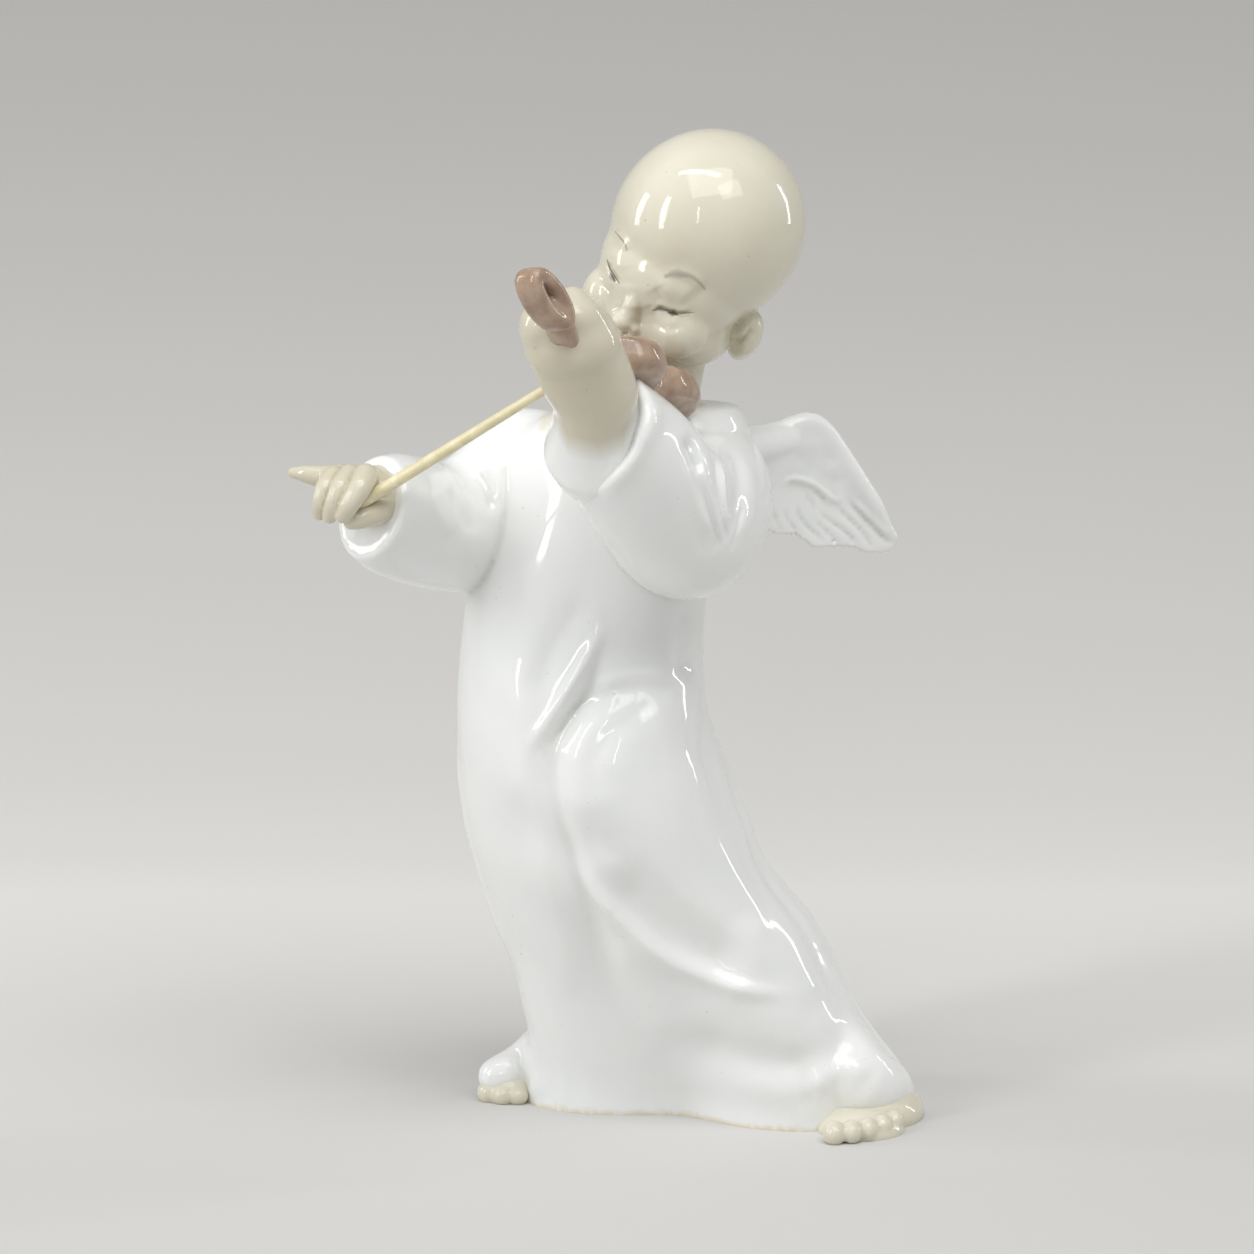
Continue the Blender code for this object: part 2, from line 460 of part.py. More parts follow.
def right_cuff(offset=(0.0, 0.0, 0.0)):
    """A point given from the middle of the right cuff."""
    return sleeve_rows(RIGHT_SHOULDER, RIGHT_ARM_REACH, RIGHT_SLEEVE)[-1, :3] + np.array(offset[:3])


def sleeve(name, rows, depth):
    """A sleeve whose last ring is an open cuff, with a rounded lip and a hollow mouth."""
    turns = np.linspace(0, 2 * math.pi, 40, endpoint=False)

    def ring(row, inset=0.0, shift=0.0):
        way, wide, tall = facing(*row[5:])
        centre = row[:3] + way * shift
        half_wide, half_tall = (row[3] - inset) * wide, (row[4] - inset) * tall
        return [centre + half_wide * math.cos(t) + half_tall * math.sin(t) for t in turns]

    rows = smooth_rows(rows, 5)
    rings = [ring(row) for row in rows]
    mouth = rows[-1]
    for angle in (30, 60, 90, 120, 150):
        lean = math.radians(angle)
        rings.append(ring(mouth, CUFF_LIP * (1 - math.cos(lean)) / 2, CUFF_LIP * math.sin(lean) / 2))
    for k in range(1, 5):
        share = k / 4
        rings.append(ring(mouth, CUFF_LIP + CUFF_TAPER * share**2, -depth * share))
    return skin(name, rings)


def robe_body():
    rows = smooth_rows(ROBE_SECTIONS, 5)
    rings = []
    for row in rows:
        height, x, y = row[0] * ROBE_HEIGHT, row[1], row[2]
        radii = smooth_rows(row[3:][:, None], 6, closed=True)[:, 0]
        turns = np.linspace(0, 2 * math.pi, len(radii), endpoint=False)
        rings.append([(x + r * math.cos(t), y + r * math.sin(t), height) for r, t in zip(radii, turns)])
    return skin("robe_body", rings)


def eye_sheet(points, azimuth=0.0):
    """Where the eye at that azimuth sees the points, in millimetres on its drawing, and the way to it."""
    a, b = math.radians(azimuth), math.radians(EYE_ELEVATION)
    right = np.array((math.cos(a), math.sin(a), 0.0))
    to_eye = np.array((math.sin(a) * math.cos(b), -math.cos(a) * math.cos(b), math.sin(b)))
    up = np.cross(to_eye, right)
    target = np.array(EYE_TARGET)
    eye = target + EYE_DISTANCE * to_eye
    reach = points - eye
    near = EYE_DISTANCE / -(reach @ to_eye)
    flat = np.stack(((reach @ right) * near, (reach @ up) * near), axis=1)
    offset = np.array((target @ right, target[2]))
    return flat + offset, to_eye


def front(azimuth=0.0):
    """A drawing seen by the eye at that azimuth: places on it, and how squarely each point faces it."""

    def sheet(points, normals):
        flat, to_eye = eye_sheet(points, azimuth)
        return flat, np.clip((normals @ to_eye - SEEN_FROM) / SEEN_OVER, 0, 1)

    return sheet


def press(obj, strokes, sheet, unit=1.0, base=0.0):
    """Raises or sinks the surface along strokes drawn on a sheet: a path, a half width and a height."""
    mesh = obj.data
    count = len(mesh.vertices)
    points = np.empty(count * 3)
    normals = np.empty(count * 3)
    mesh.vertices.foreach_get("co", points)
    mesh.vertices.foreach_get("normal", normals)
    points = points.reshape(-1, 3) / MM
    normals = normals.reshape(-1, 3)
    flat, seen = sheet(points, normals)
    lift = np.zeros(count)
    for path, half_width, height in strokes:
        line = smooth_rows(np.array(path) * unit + np.array((0.0, base)), 6)
        margin = 3 * half_width
        inside = ((flat > line.min(0) - margin) & (flat < line.max(0) + margin)).all(1) & (seen > 0)
        near_by = np.flatnonzero(inside)
        gap, along = distance_along(flat[near_by], line)
        ends = np.clip(np.minimum(along, 1 - along) / STROKE_END, 0, 1)
        ends = ends * ends * (3 - 2 * ends)
        lift[near_by] += height * ends * np.exp(-((gap / half_width) ** 2)) * seen[near_by]
    points += normals * lift[:, None]
    mesh.vertices.foreach_set("co", (points * MM).ravel())
    mesh.update()


def distance_along(flat, line):
    """Each point's distance from a line, and how far along it the nearest place is, from 0 to 1."""
    lengths = np.linalg.norm(np.diff(line, axis=0), axis=1)
    run = np.concatenate(((0.0,), np.cumsum(lengths)))
    best = np.full(len(flat), np.inf)
    along = np.zeros(len(flat))
    for i, (a, b) in enumerate(zip(line, line[1:])):
        step = b - a
        share = np.clip(((flat - a) @ step) / (step @ step), 0, 1)
        gap = np.linalg.norm(flat - a - share[:, None] * step, axis=1)
        near = gap < best
        best[near] = gap[near]
        along[near] = (run[i] + share * lengths[i])[near] / run[-1]
    return best, along


def fuse(name, pieces, voxel, soft):
    """One closed skin round the pieces, softened over that many millimetres as glaze softens a joint."""
    bm = bmesh.new()
    for piece in pieces:
        bm.from_mesh(piece.data)
    mesh = bpy.data.meshes.new(name)
    bm.to_mesh(mesh)
    bm.free()
    for piece in pieces:
        bpy.data.objects.remove(piece)
    obj = add_object(name, mesh)
    remesh = obj.modifiers.new("skin", "REMESH")
    remesh.mode = "VOXEL"
    remesh.voxel_size = voxel * MM
    remesh.use_smooth_shade = True
    smooth = obj.modifiers.new("soft", "SMOOTH")
    smooth.factor = 0.5
    smooth.iterations = max(1, round(2 * (soft / voxel) ** 2))
    return settled(obj)


def settled(obj):
    """The object with its modifiers turned into plain mesh."""
    graph = bpy.context.evaluated_depsgraph_get()
    mesh = bpy.data.meshes.new_from_object(obj.evaluated_get(graph))
    obj.modifiers.clear()
    obj.data = mesh
    return obj


def robe(voxel):
    """The white robe with both sleeves, its folds pressed in."""
    forms = [robe_body(), limb("thigh", THIGH), limb("right_hem", RIGHT_HEM), limb("left_hem", LEFT_HEM)]
    body = fuse("body", forms, voxel, SKIN_SOFT)
    press(body, ROBE_FOLDS, front(), ROBE_HEIGHT)
    press(body, BACK_FOLDS, front(180.0), ROBE_HEIGHT)
    press(body, RIGHT_SIDE_FOLDS, front(90.0), ROBE_HEIGHT)
    press(body, LEFT_SIDE_FOLDS, front(270.0), ROBE_HEIGHT)
    left = sleeve("left_sleeve", sleeve_rows(LEFT_SHOULDER, LEFT_ARM_REACH, LEFT_SLEEVE), LEFT_CUFF_DEPTH)
    left = fuse("left_sleeve", [left], voxel, SEAM_SOFT)
    press(left, SLEEVE_FOLDS, front(), base=ROBE_HEIGHT)
    rows = sleeve_rows(RIGHT_SHOULDER, RIGHT_ARM_REACH, RIGHT_SLEEVE)
    right = fuse("right_sleeve", [sleeve("right_sleeve", rows, RIGHT_CUFF_DEPTH)], voxel, SEAM_SOFT)
    press(right, RIGHT_SLEEVE_FOLDS, front(), base=ROBE_HEIGHT)
    return fuse("robe", [body, left, right], voxel, SEAM_SOFT)


def head_axes():
    """The head's own axes: to its left, up through the crown, and forward."""
    turn = Matrix.Rotation(math.radians(-HEAD_TURN), 3, "Z")
    nod = Matrix.Rotation(math.radians(HEAD_NOD), 3, "X")
    tilt = Matrix.Rotation(math.radians(HEAD_TILT), 3, "Y")
    frame = turn @ nod @ tilt
    return frame @ Vector((1, 0, 0)), frame @ Vector((0, 0, 1)), frame @ Vector((0, -1, 0))


def in_head(left, up, forward):
    axes = head_axes()
    return Vector(from_collar(*HEAD_CENTRE)) + axes[0] * left + axes[1] * up + axes[2] * forward


def head(voxel):
    axes = head_axes()
    neck_foot = from_collar(*NECK_FOOT)
    pieces = [blob("form", in_head(*form[:3]), form[3:], axes) for form in HEAD_FORMS]
    pieces.append(blob("chest", neck_foot, CHEST))
    pieces.append(limb("neck", [(*neck_foot, NECK_RADIUS), (*in_head(*NECK_TOP), NECK_RADIUS)]))
    details = [fuse("face", pieces, voxel, SKIN_SOFT)]
    details += [blob("nose", in_head(*form[:3]), form[3:], axes) for form in NOSE_FORMS]
    details.append(limb("nose_bridge", [(*in_head(*p[:3]), p[3]) for p in NOSE_BRIDGE]))
    for place, way in ((LEFT_EAR, 1), (RIGHT_EAR, -1)):
        swing = Matrix.Rotation(math.radians(EAR_TURN) * way, 3, axes[1])
        out, ahead = swing @ axes[0], swing @ axes[2]
        lean = Matrix.Rotation(math.radians(EAR_LEAN), 3, out)
        details.append(blob("ear", in_head(*place), EAR, (out, lean @ axes[1], lean @ ahead)))
    skull = fuse("head", details, voxel, SEAM_SOFT)
    press(skull, FACE_LINES, front(), base=ROBE_HEIGHT)
    return skull


def left_arm(voxel):
    forearm = limb("forearm", [(*left_cuff(p), p[3]) for p in LEFT_FOREARM])
    hand = [blob("hand", left_cuff(form), form[3:]) for form in LEFT_HAND]
    return fuse("left_arm", [forearm, *hand], voxel, HAND_SOFT)


def right_hand(voxel):
    pieces = [limb("wrist", [(*right_cuff(p), p[3]) for p in RIGHT_WRIST])]
    pieces += [blob("palm", right_cuff(form), form[3:]) for form in RIGHT_PALM]
    palm = fuse("palm", pieces, voxel, SEAM_SOFT)
    fingers = [limb("finger", [(*right_cuff(p), p[3]) for p in finger]) for finger in RIGHT_FINGERS]
    return fuse("right_hand", [palm, *fingers], voxel, FINGER_SOFT)


def feet(voxel):
    pieces = [blob("toe", form[:3], form[3:]) for form in LEFT_FOOT + FOOT_FORMS]
    return fuse("feet", pieces, voxel, FINGER_SOFT)


def wing(name, root, turn, voxel):
    """A wing as a thick edge that thins to its feathers, with the feathers cut into both faces."""
    a = math.radians(turn)
    out = np.array((math.cos(a), math.sin(a), 0.0))
    across = np.array((-math.sin(a), math.cos(a), 0.0))
    turns = np.linspace(0, 2 * math.pi, 40, endpoint=False)
    rings = []
    for share, top, bottom in smooth_rows(WING, 3):
        centre = np.array((*root, ROBE_HEIGHT + (top + bottom) / 2)) + out * share * WING_LENGTH
        half = (top - bottom) / 2
        ring = []
        for t in turns:
            rise = math.cos(t)
            band = math.exp(-(((rise - WING_BAND) / WING_BAND_SPREAD) ** 2))
            swell = (WING_THICKNESS / 2 - WING_EDGE) * (1 - WING_THINNING * max(share, 0))
            thick = WING_EDGE + swell * band
            ring.append(centre + np.array((0, 0, half)) * rise + across * thick * math.sin(t))
        rings.append(ring)

    def plane(points, normals):
        reach = (points - np.array((*root, ROBE_HEIGHT))) @ out
        flat = np.stack((reach, points[:, 2] - ROBE_HEIGHT), axis=1)
        return flat, np.clip((np.abs(normals @ across) - SEEN_FROM) / SEEN_OVER, 0, 1)

    foot = from_collar(*root, -WING_ROOT_DROP[0]) - out * WING_ROOT_TUCK
    end = from_collar(*root, -WING_ROOT_DROP[1]) + out * WING_ROOT_REACH
    shoulder = limb("wing_root", [(*foot, WING_ROOT_RADIUS), (*end, WING_THICKNESS / 2)])
    obj = fuse(name, [skin(name, rings), shoulder], voxel, FINGER_SOFT)
    press(obj, FEATHERS, plane)
    return obj


def left_palm(offset=(0.0, 0.0, 0.0)):
    return Vector(left_cuff(LEFT_PALM)) + Vector(offset)


def violin_axes():
    """The violin's own axes: towards the scroll, to its right edge in the view, and up off its top."""
    way = (left_palm() - Vector(from_collar(*VIOLIN_TAIL))).normalized()
    wide = Vector((math.cos(math.radians(VIOLIN_ROLL)), 0.0, math.sin(math.radians(VIOLIN_ROLL))))
    wide = (wide - way * wide.dot(way)).normalized()
    return way, wide, wide.cross(way).normalized() * (1 if wide.cross(way).z > 0 else -1)


def on_violin(along, side, up):
    way, wide, top = violin_axes()
    return Vector(from_collar(*VIOLIN_TAIL)) + way * along + wide * side + top * up


def squared(half, share):
    """A rounded-square section's place across, for the cosine or the sine of a turn."""
    return half * math.copysign(abs(share) ** SQUARENESS, share)


def pegbox_axes():
    way = Vector(PEGBOX_WAY).normalized()
    side = Vector(PEGBOX_SIDE)
    side = (side - way * side.dot(way)).normalized()
    return way, side, side.cross(way)


def pegbox():
    """The pegbox and scroll, simplified to a broad strap that curls round an oblong hole."""
    way, side, over = pegbox_axes()
    long_half = (PEGBOX_LENGTH - PEGBOX_WALL) / 2
    short_half = (PEGBOX_HEIGHT - PEGBOX_WALL) / 2
    rings = []
    for i in range(32):
        t = 2 * math.pi * i / 32
        centre = left_palm(PEGBOX_PLACE) + way * long_half * math.cos(t) + over * short_half * math.sin(t)
        out = (way * math.cos(t) / long_half + over * math.sin(t) / short_half).normalized()
        ring = []
        for k in range(16):
            c, s = math.cos(math.pi * k / 8), math.sin(math.pi * k / 8)
            ring.append(centre + side * squared(PEGBOX_WIDTH / 2, c) + out * squared(PEGBOX_WALL / 2, s))
        rings.append(ring)
    return skin("pegbox", rings, round_trip=True)


def violin(voxel):
    """Body with two bouts and a waist, neck, and a pegbox that curls back as a loop."""
    halves = {"LOWER": LOWER_BOUT, "WAIST": WAIST, "UPPER": UPPER_BOUT}
    rows = [(along * BODY_LENGTH, share * halves[part]) for along, share, part in BODY_OUTLINE]
    turns = np.linspace(0, 2 * math.pi, 36, endpoint=False)
    rings = []
    for along, half in smooth_rows(rows, 4):
        ring = []
        for t in turns:
            ring.append(on_violin(along, squared(half, math.cos(t)), squared(RIB_HEIGHT / 2, math.sin(t))))
        rings.append(ring)
    neck_end = (left_palm() - Vector(from_collar(*VIOLIN_TAIL))).length + NECK_PAST_PALM
    way, side, over = pegbox_axes()
    heel = left_palm(PEGBOX_HEEL)
    joints = (on_violin(BODY_LENGTH - NECK_HALF, 0, NECK_RISE), on_violin(neck_end, 0, 0), heel)
    neck = [(*joint, NECK_HALF) for joint in joints]
    pieces = [
        skin("violin_body", rings),
        limb("violin_neck", neck),
        blob("pegbox_heel", heel, PEGBOX_HEEL_SIZE, (side, over, way)),
        pegbox(),
    ]
    return fuse("violin", pieces, voxel, SEAM_SOFT)


def clear_scene():
    for obj in list(bpy.data.objects):
        bpy.data.objects.remove(obj)


def glaze(name, colour, roughness):
    material = bpy.data.materials.new(name)
    material.use_nodes = True
    shader = material.node_tree.nodes["Principled BSDF"]
    shader.inputs["Base Color"].default_value = (*colour, 1.0)
    shader.inputs["Roughness"].default_value = roughness
    shader.inputs["Metallic"].default_value = 0.0
    return material


def bow_stick(name, extra=0.0):
    """The bow, or the space round it when extra is its clearance."""
    butt, tip = Vector(right_cuff(BOW_BUTT)), Vector(left_cuff(BOW_TIP))
    way = (tip - butt).normalized()
    stations = [
        (*(butt - way * extra), BOW_BUTT_DIAMETER / 2 + extra),
        (*((butt + tip) / 2), (BOW_BUTT_DIAMETER + BOW_TIP_DIAMETER) / 4 + extra),
        (*(tip + way * extra), BOW_TIP_DIAMETER / 2 + extra),
    ]
    return limb(name, stations, sides=16)


def flat_base(obj):
    """Grinds the foot of the figurine flat at height zero."""
    bm = bmesh.new()
    bm.from_mesh(obj.data)
    whole = bm.verts[:] + bm.edges[:] + bm.faces[:]
    cut = bmesh.ops.bisect_plane(bm, geom=whole, plane_co=(0, 0, 0), plane_no=(0, 0, 1), clear_inner=True)
    edges = [e for e in cut["geom_cut"] if isinstance(e, bmesh.types.BMEdge)]
    bmesh.ops.holes_fill(bm, edges=edges)
    bmesh.ops.recalc_face_normals(bm, faces=bm.faces)
    bm.to_mesh(obj.data)
    bm.free()


def crisp_foot(obj):
    """Keeps the rim of the ground foot sharp in shading."""
    mesh = obj.data
    for edge in mesh.edges:
        edge.use_edge_sharp = all(abs(mesh.vertices[v].co.z) < RIM_NEAR * MM for v in edge.vertices)


def figurine():
    parts = [
        robe(VOXEL), head(VOXEL), left_arm(VOXEL), right_hand(FINE_VOXEL), feet(JOIN_VOXEL), violin(VOXEL),
        wing("left_wing", LEFT_WING_ROOT, LEFT_WING_TURN, JOIN_VOXEL),
        wing("right_wing", RIGHT_WING_ROOT, RIGHT_WING_TURN, JOIN_VOXEL),
    ]
    obj = fuse("angel_figurine", parts, JOIN_VOXEL, JOIN_SOFT)
    thin = obj.modifiers.new("fewer_faces", "DECIMATE")
    thin.ratio = TRIANGLES / (2 * len(obj.data.polygons))
    settled(obj)
    flat_base(obj)
    cutter = bow_stick("bow_bore", BOW_CLEARANCE)
    cutter.hide_render = True
    cutter.display_type = "WIRE"
    bore = obj.modifiers.new("bow_bore", "BOOLEAN")
    bore.operation = "DIFFERENCE"
    bore.solver = "EXACT"
    bore.object = cutter
    settled(obj)
    bpy.data.objects.remove(cutter)
    obj.data.shade_smooth()
    crisp_foot(obj)
    obj.data.materials.clear()
    obj.data.materials.append(glaze("white_glaze", (0.80, 0.82, 0.84), 0.08))
    return obj


def main():
    clear_scene()
    angel = figurine()
    bow = bow_stick("violin_bow")
    for obj in (angel, bow):
        obj.data.transform(Matrix.Translation(-Vector(FOOT_CENTRE) * MM))
    bow.data.materials.append(glaze("bow_wood", (0.80, 0.74, 0.55), 0.35))
    bow.data.shade_smooth()


main()
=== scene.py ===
"""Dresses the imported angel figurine: porcelain skins by glaze colour, the loose bow, light and camera."""

import json
from math import copysign, cos, exp, pi, radians, sin

import bmesh
import bpy
import numpy as np
from mathutils import Matrix, Vector

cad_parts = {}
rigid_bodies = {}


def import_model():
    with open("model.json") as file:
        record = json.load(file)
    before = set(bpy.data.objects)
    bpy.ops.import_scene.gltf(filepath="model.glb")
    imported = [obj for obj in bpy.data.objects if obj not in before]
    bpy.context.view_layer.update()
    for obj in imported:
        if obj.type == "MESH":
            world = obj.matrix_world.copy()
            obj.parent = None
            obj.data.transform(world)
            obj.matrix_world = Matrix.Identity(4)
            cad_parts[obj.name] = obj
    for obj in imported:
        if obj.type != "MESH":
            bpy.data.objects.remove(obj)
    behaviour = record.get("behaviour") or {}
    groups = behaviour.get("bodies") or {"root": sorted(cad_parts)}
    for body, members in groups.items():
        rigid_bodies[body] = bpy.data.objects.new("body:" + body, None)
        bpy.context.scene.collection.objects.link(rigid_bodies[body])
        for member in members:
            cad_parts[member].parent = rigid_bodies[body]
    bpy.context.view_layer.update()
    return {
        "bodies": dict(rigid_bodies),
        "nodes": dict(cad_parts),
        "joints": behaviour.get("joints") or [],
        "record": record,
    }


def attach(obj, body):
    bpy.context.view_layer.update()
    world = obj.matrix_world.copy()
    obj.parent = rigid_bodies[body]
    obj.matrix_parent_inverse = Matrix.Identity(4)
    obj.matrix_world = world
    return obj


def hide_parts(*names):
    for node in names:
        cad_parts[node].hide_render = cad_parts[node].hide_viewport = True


for leftover in list(bpy.data.objects):
    bpy.data.objects.remove(leftover)
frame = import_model()

MM = 0.001

# The origin of the part: the middle of its foot, from the plumb line that the tables are measured from
FOOT_CENTRE = (2.0, 10.0, 0.0)

# The elevation drawings that the folds, feathers and eyelids are drawn on, as an eye sees the figure
EYE_DISTANCE = 900.0
EYE_ELEVATION = 9.0
EYE_TARGET = (-15.1, 0.0, 104.0)

# Main sizes: the collar above the foot, each arm from shoulder to cuff, each wing from root to tip
ROBE_HEIGHT = 150.5
LEFT_ARM_REACH = 51.0
RIGHT_ARM_REACH = 51.0
WING_LENGTH = 34.4

# Robe: height as a share of ROBE_HEIGHT, centre x and y, then eight radii from the right round by the back
ROBE_SECTIONS = (
    (-0.0598, 2, 10, 44.5, 34, 25, 33, 40, 15.5, 15.5, 33),
    (0.0199, 2, 10, 44, 34, 25, 32.5, 38.5, 15.5, 15.5, 33.5),
    (0.0598, 1, 9, 42, 32.5, 25, 31.5, 36.5, 16, 16, 33.5),
    (0.0997, 0, 8, 38.5, 31, 26, 30.5, 36, 17.5, 17, 32.5),
    (0.1462, -2, 7, 35.8, 30, 26.5, 30, 35.5, 19, 19, 31.5),
    (0.2126, -5.7, 6, 34, 29, 26, 29, 34, 21.5, 21, 30.5),
    (0.2724, -9.6, 5, 33, 28, 26, 28.5, 33, 24, 23.5, 30),
    (0.3488, -16, 4, 30, 26.5, 25.5, 27.5, 30, 25.5, 25.5, 29),
    (0.412, -19, 3.5, 29.4, 26, 25, 27, 29.4, 26, 26, 28.5),
    (0.4983, -22.3, 3, 27.7, 25, 24.5, 26.5, 27.7, 26, 25.5, 27),
    (0.598, -24.6, 3, 26, 23.5, 23.5, 25.5, 26, 24.5, 23.5, 25),
    (0.7309, -23.5, 3, 25.1, 22.5, 22, 25, 25.1, 22.5, 21.5, 24),
    (0.8372, -20, 2, 26, 21, 20, 25, 26, 21, 20, 25),
    (0.9169, -16, 2, 26.5, 20.5, 18.5, 24, 27.5, 19.5, 18, 24.5),
    (0.9701, -12.5, 1.5, 22.5, 17.5, 16, 20, 23.5, 16.5, 15.5, 20.5),
    (1, -10, 1, 18, 14, 13, 14.5, 15, 11.5, 12, 16),
)
THIGH = (
    (-12, -5, 88, 12.5), (-14, -9.5, 73, 15.5), (-4, -8, 52, 13.5), (11, -6, 32, 10.5),
)
RIGHT_HEM = ((-30, 17, 9, 8.5), (-37, 14.5, 6.3, 5.8), (-43, 12, 5, 4.2))
LEFT_HEM = ((20, 3, 21, 10.5), (28, -2.5, 13.5, 9.2), (33.5, -6, 8.4, 8.4), (38.2, 0.5, 4.6, 7.6))

# Shoulders, from the collar's height
LEFT_SHOULDER = (-6, 5, -13.5)
RIGHT_SHOULDER = (-28, 7, -13.5)

# Sleeves: way from the shoulder in shares of the arm's reach, half width and height, then turn, rise and roll
LEFT_SLEEVE = (
    (0, 0, 0, 11, 11, -60, 0, 0),
    (0.108, -0.118, -0.059, 14.5, 14.5, -25, -10, 0),
    (0.108, -0.333, -0.147, 14.5, 16.5, 10, -5, 0),
    (0.01, -0.569, -0.127, 14.5, 16.5, 30, 8, 0),
    (-0.118, -0.765, 0.045, 14, 15.8, 43, 17, 0),
    (-0.268, -0.951, 0.247, 13, 12.7, 53, 22.5, -11.5),
)
RIGHT_SLEEVE = (
    (0, 0, 0, 11, 11, 75, 0, 0),
    (-0.196, -0.02, -0.098, 12, 16.5, 78, -8, 0),
    (-0.431, -0.137, -0.231, 12.5, 13.8, 62, -8, 0),
    (-0.569, -0.314, -0.196, 12, 13.4, 45, 4, 0),
    (-0.686, -0.549, -0.129, 11.2, 12.4, 44, 14, 0),
    (-0.745, -0.667, -0.09, 9.8, 10.8, 46, 18, 0),
)
# What places each sleeve, then the sizes of the cuffs
LEFT_ARM = (LEFT_SHOULDER, LEFT_ARM_REACH, LEFT_SLEEVE)
RIGHT_ARM = (RIGHT_SHOULDER, RIGHT_ARM_REACH, RIGHT_SLEEVE)
CUFF_LIP = 1.8
LEFT_CUFF_DEPTH = 0.3
RIGHT_CUFF_DEPTH = -1.6
CUFF_TAPER = 5.5

# Left arm and hand, from the middle of the left cuff: x, y, z and radius, or x, y, z and three radii
LEFT_FOREARM = (
    (5, 12, -8.5, 8.6), (-1.6, -0.5, 0.4, 7.8), (-1.6, -8.5, 7.9, 8.5), (-4.2, -12.5, 14.1, 9.1),
    (-6, -16, 20, 8.8),
)
LEFT_ARM_FLARE = (
    (0, 3, -3, 12.3), (-0.6, -0.3, 0.2, 10.4), (-1.2, -3.4, 3.1, 9), (-1.6, -6, 5.5, 8.4),
)
LEFT_PALM = (-6.3, -18, 19.4)
LEFT_HAND = (
    (-6, -16.5, 18.5, 9.4, 8.5, 8),
    (-7.3, -17.5, 23.5, 8.2, 8, 6),
    (-5.6, -18, 26.2, 3.6, 4.4, 3.9),
    (-11.5, -18, 22, 4.8, 6, 5.5),
)

# Right hand, from the middle of the right cuff
RIGHT_WRIST = ((4, 9, 0.5, 6.6), (0.5, 1, 2.6, 6.2))
RIGHT_PALM = (
    (-1.2, -1.5, 3.2, 7.2, 5.2, 5.4),
    (-3.6, -2, 4.8, 5.2, 4.4, 4.2),
    (3.2, -0.5, 2.2, 4.6, 4.6, 4.4),
)
RIGHT_FINGERS = (
    ((-0.9, -7, 7.3, 2.6), (-1.8, -10.5, 5.4, 2.3), (-3.6, -11.8, 2.5, 2), (-5.2, -10.8, 0, 1.8)),
    ((-4.2, -5.5, 7.3, 2.3), (-5.9, -9.5, 5.3, 2), (-7.1, -10.3, 2.2, 1.8), (-7.9, -9.3, -0.4, 1.6)),
    ((-7.5, -3.5, 6.9, 2.1), (-9.1, -6.5, 4.9, 1.9), (-9.9, -7.5, 2.2, 1.7), (-10.2, -6.6, -0.2, 1.5)),
    ((-6.3, -1.5, 6.3, 2.8), (-10.1, -1, 6.4, 2.3), (-13.4, -0.5, 6.9, 1.8), (-15.8, 0, 7.1, 1.2)),
    ((4.3, -1, 2.6, 3), (1.5, -5.5, -0.1, 2.6), (-1.8, -8.5, -1.1, 2.1), (-3.7, -9.3, -1.5, 1.7)),
)

# Head: centre of the skull from the collar's height, how it is held, then blobs in its left, up and forward
HEAD_CENTRE = (1.4, -5, 36.5)
HEAD_TURN = 30.0
HEAD_NOD = 6.0
HEAD_TILT = 28.0
HEAD_FORMS = (
    (0, 0, 0, 19.4, 20.3, 21.3),
    (0, -9, 6, 16.2, 14.5, 16),
    (0, -18, 9, 11.5, 9, 12),
    (8, -16, 14, 7, 6.5, 7),
    (-7.4, -17.6, 13.6, 6.8, 6.4, 6.8),
    (9, -18.5, 5.5, 7, 7, 9),
    (-7.6, -18.5, 5.5, 6.6, 7, 8.4),
    (0, -23.5, 16, 5, 4, 4.5),
)
NOSE_FORMS = (
    (-0.3, -18, 21.6, 2.3, 2, 2.6),
    (2.1, -18.6, 20.2, 1.4, 1.2, 1.6),
    (-2.1, -18.6, 20.2, 1.4, 1.2, 1.6),
)
NOSE_BRIDGE = ((0, -10, 19.3, 1.8), (0, -16.5, 21.3, 1.8))
LEFT_EAR = (15.4, -17.6, -3.8)
RIGHT_EAR = (-15.2, -16, -2.5)
EAR = (3.4, 7.4, 4.9)
EAR_TURN = 24.0
EAR_LEAN = 42.0
NECK_FOOT = (-9, -1, -7.5)
NECK_TOP = (0, -13, -1)
NECK_RADIUS = 7.0
CHEST = (19, 12.5, 9)

# Feet: the left foot, then the toes of both and what shows of the right foot, each as x, y, z and three radii
LEFT_FOOT = ((33, -1, 1.5, 14.5, 14, 6.8), (33.5, -12, 0.4, 9.3, 9.6, 4.4))
FOOT_FORMS = (
    (27.6, -22.2, 2, 2.5, 3, 2.6),
    (31.2, -21.6, 2.1, 2.2, 2.9, 2.5),
    (34.6, -19.8, 2.2, 2.1, 2.8, 2.4),
    (37.8, -17.2, 2.3, 2, 2.7, 2.3),
    (40.6, -13.8, 2.4, 1.9, 2.6, 2.3),
    (-40.5, 12, 1.8, 6, 4.6, 4.6),
    (-44.6, 10.8, 1.8, 2.6, 2.8, 2.5),
    (-41.6, 8.6, 1.7, 2.5, 2.4, 2.2),
    (-38.4, 8.4, 1.6, 2.4, 2.2, 2),
)

# Violin: the tail button from the collar's height, and the sizes of its parts. Its neck runs to the left palm
VIOLIN_TAIL = (-9.5, -10, -1)
VIOLIN_ROLL = 15.0
BODY_LENGTH = 42.0
LOWER_BOUT = 12.0
WAIST = 7.5
UPPER_BOUT = 12.0
RIB_HEIGHT = 8.5
NECK_HALF = 2.6
NECK_RISE = 1.5
SQUARENESS = 0.6
NECK_PAST_PALM = 4.0
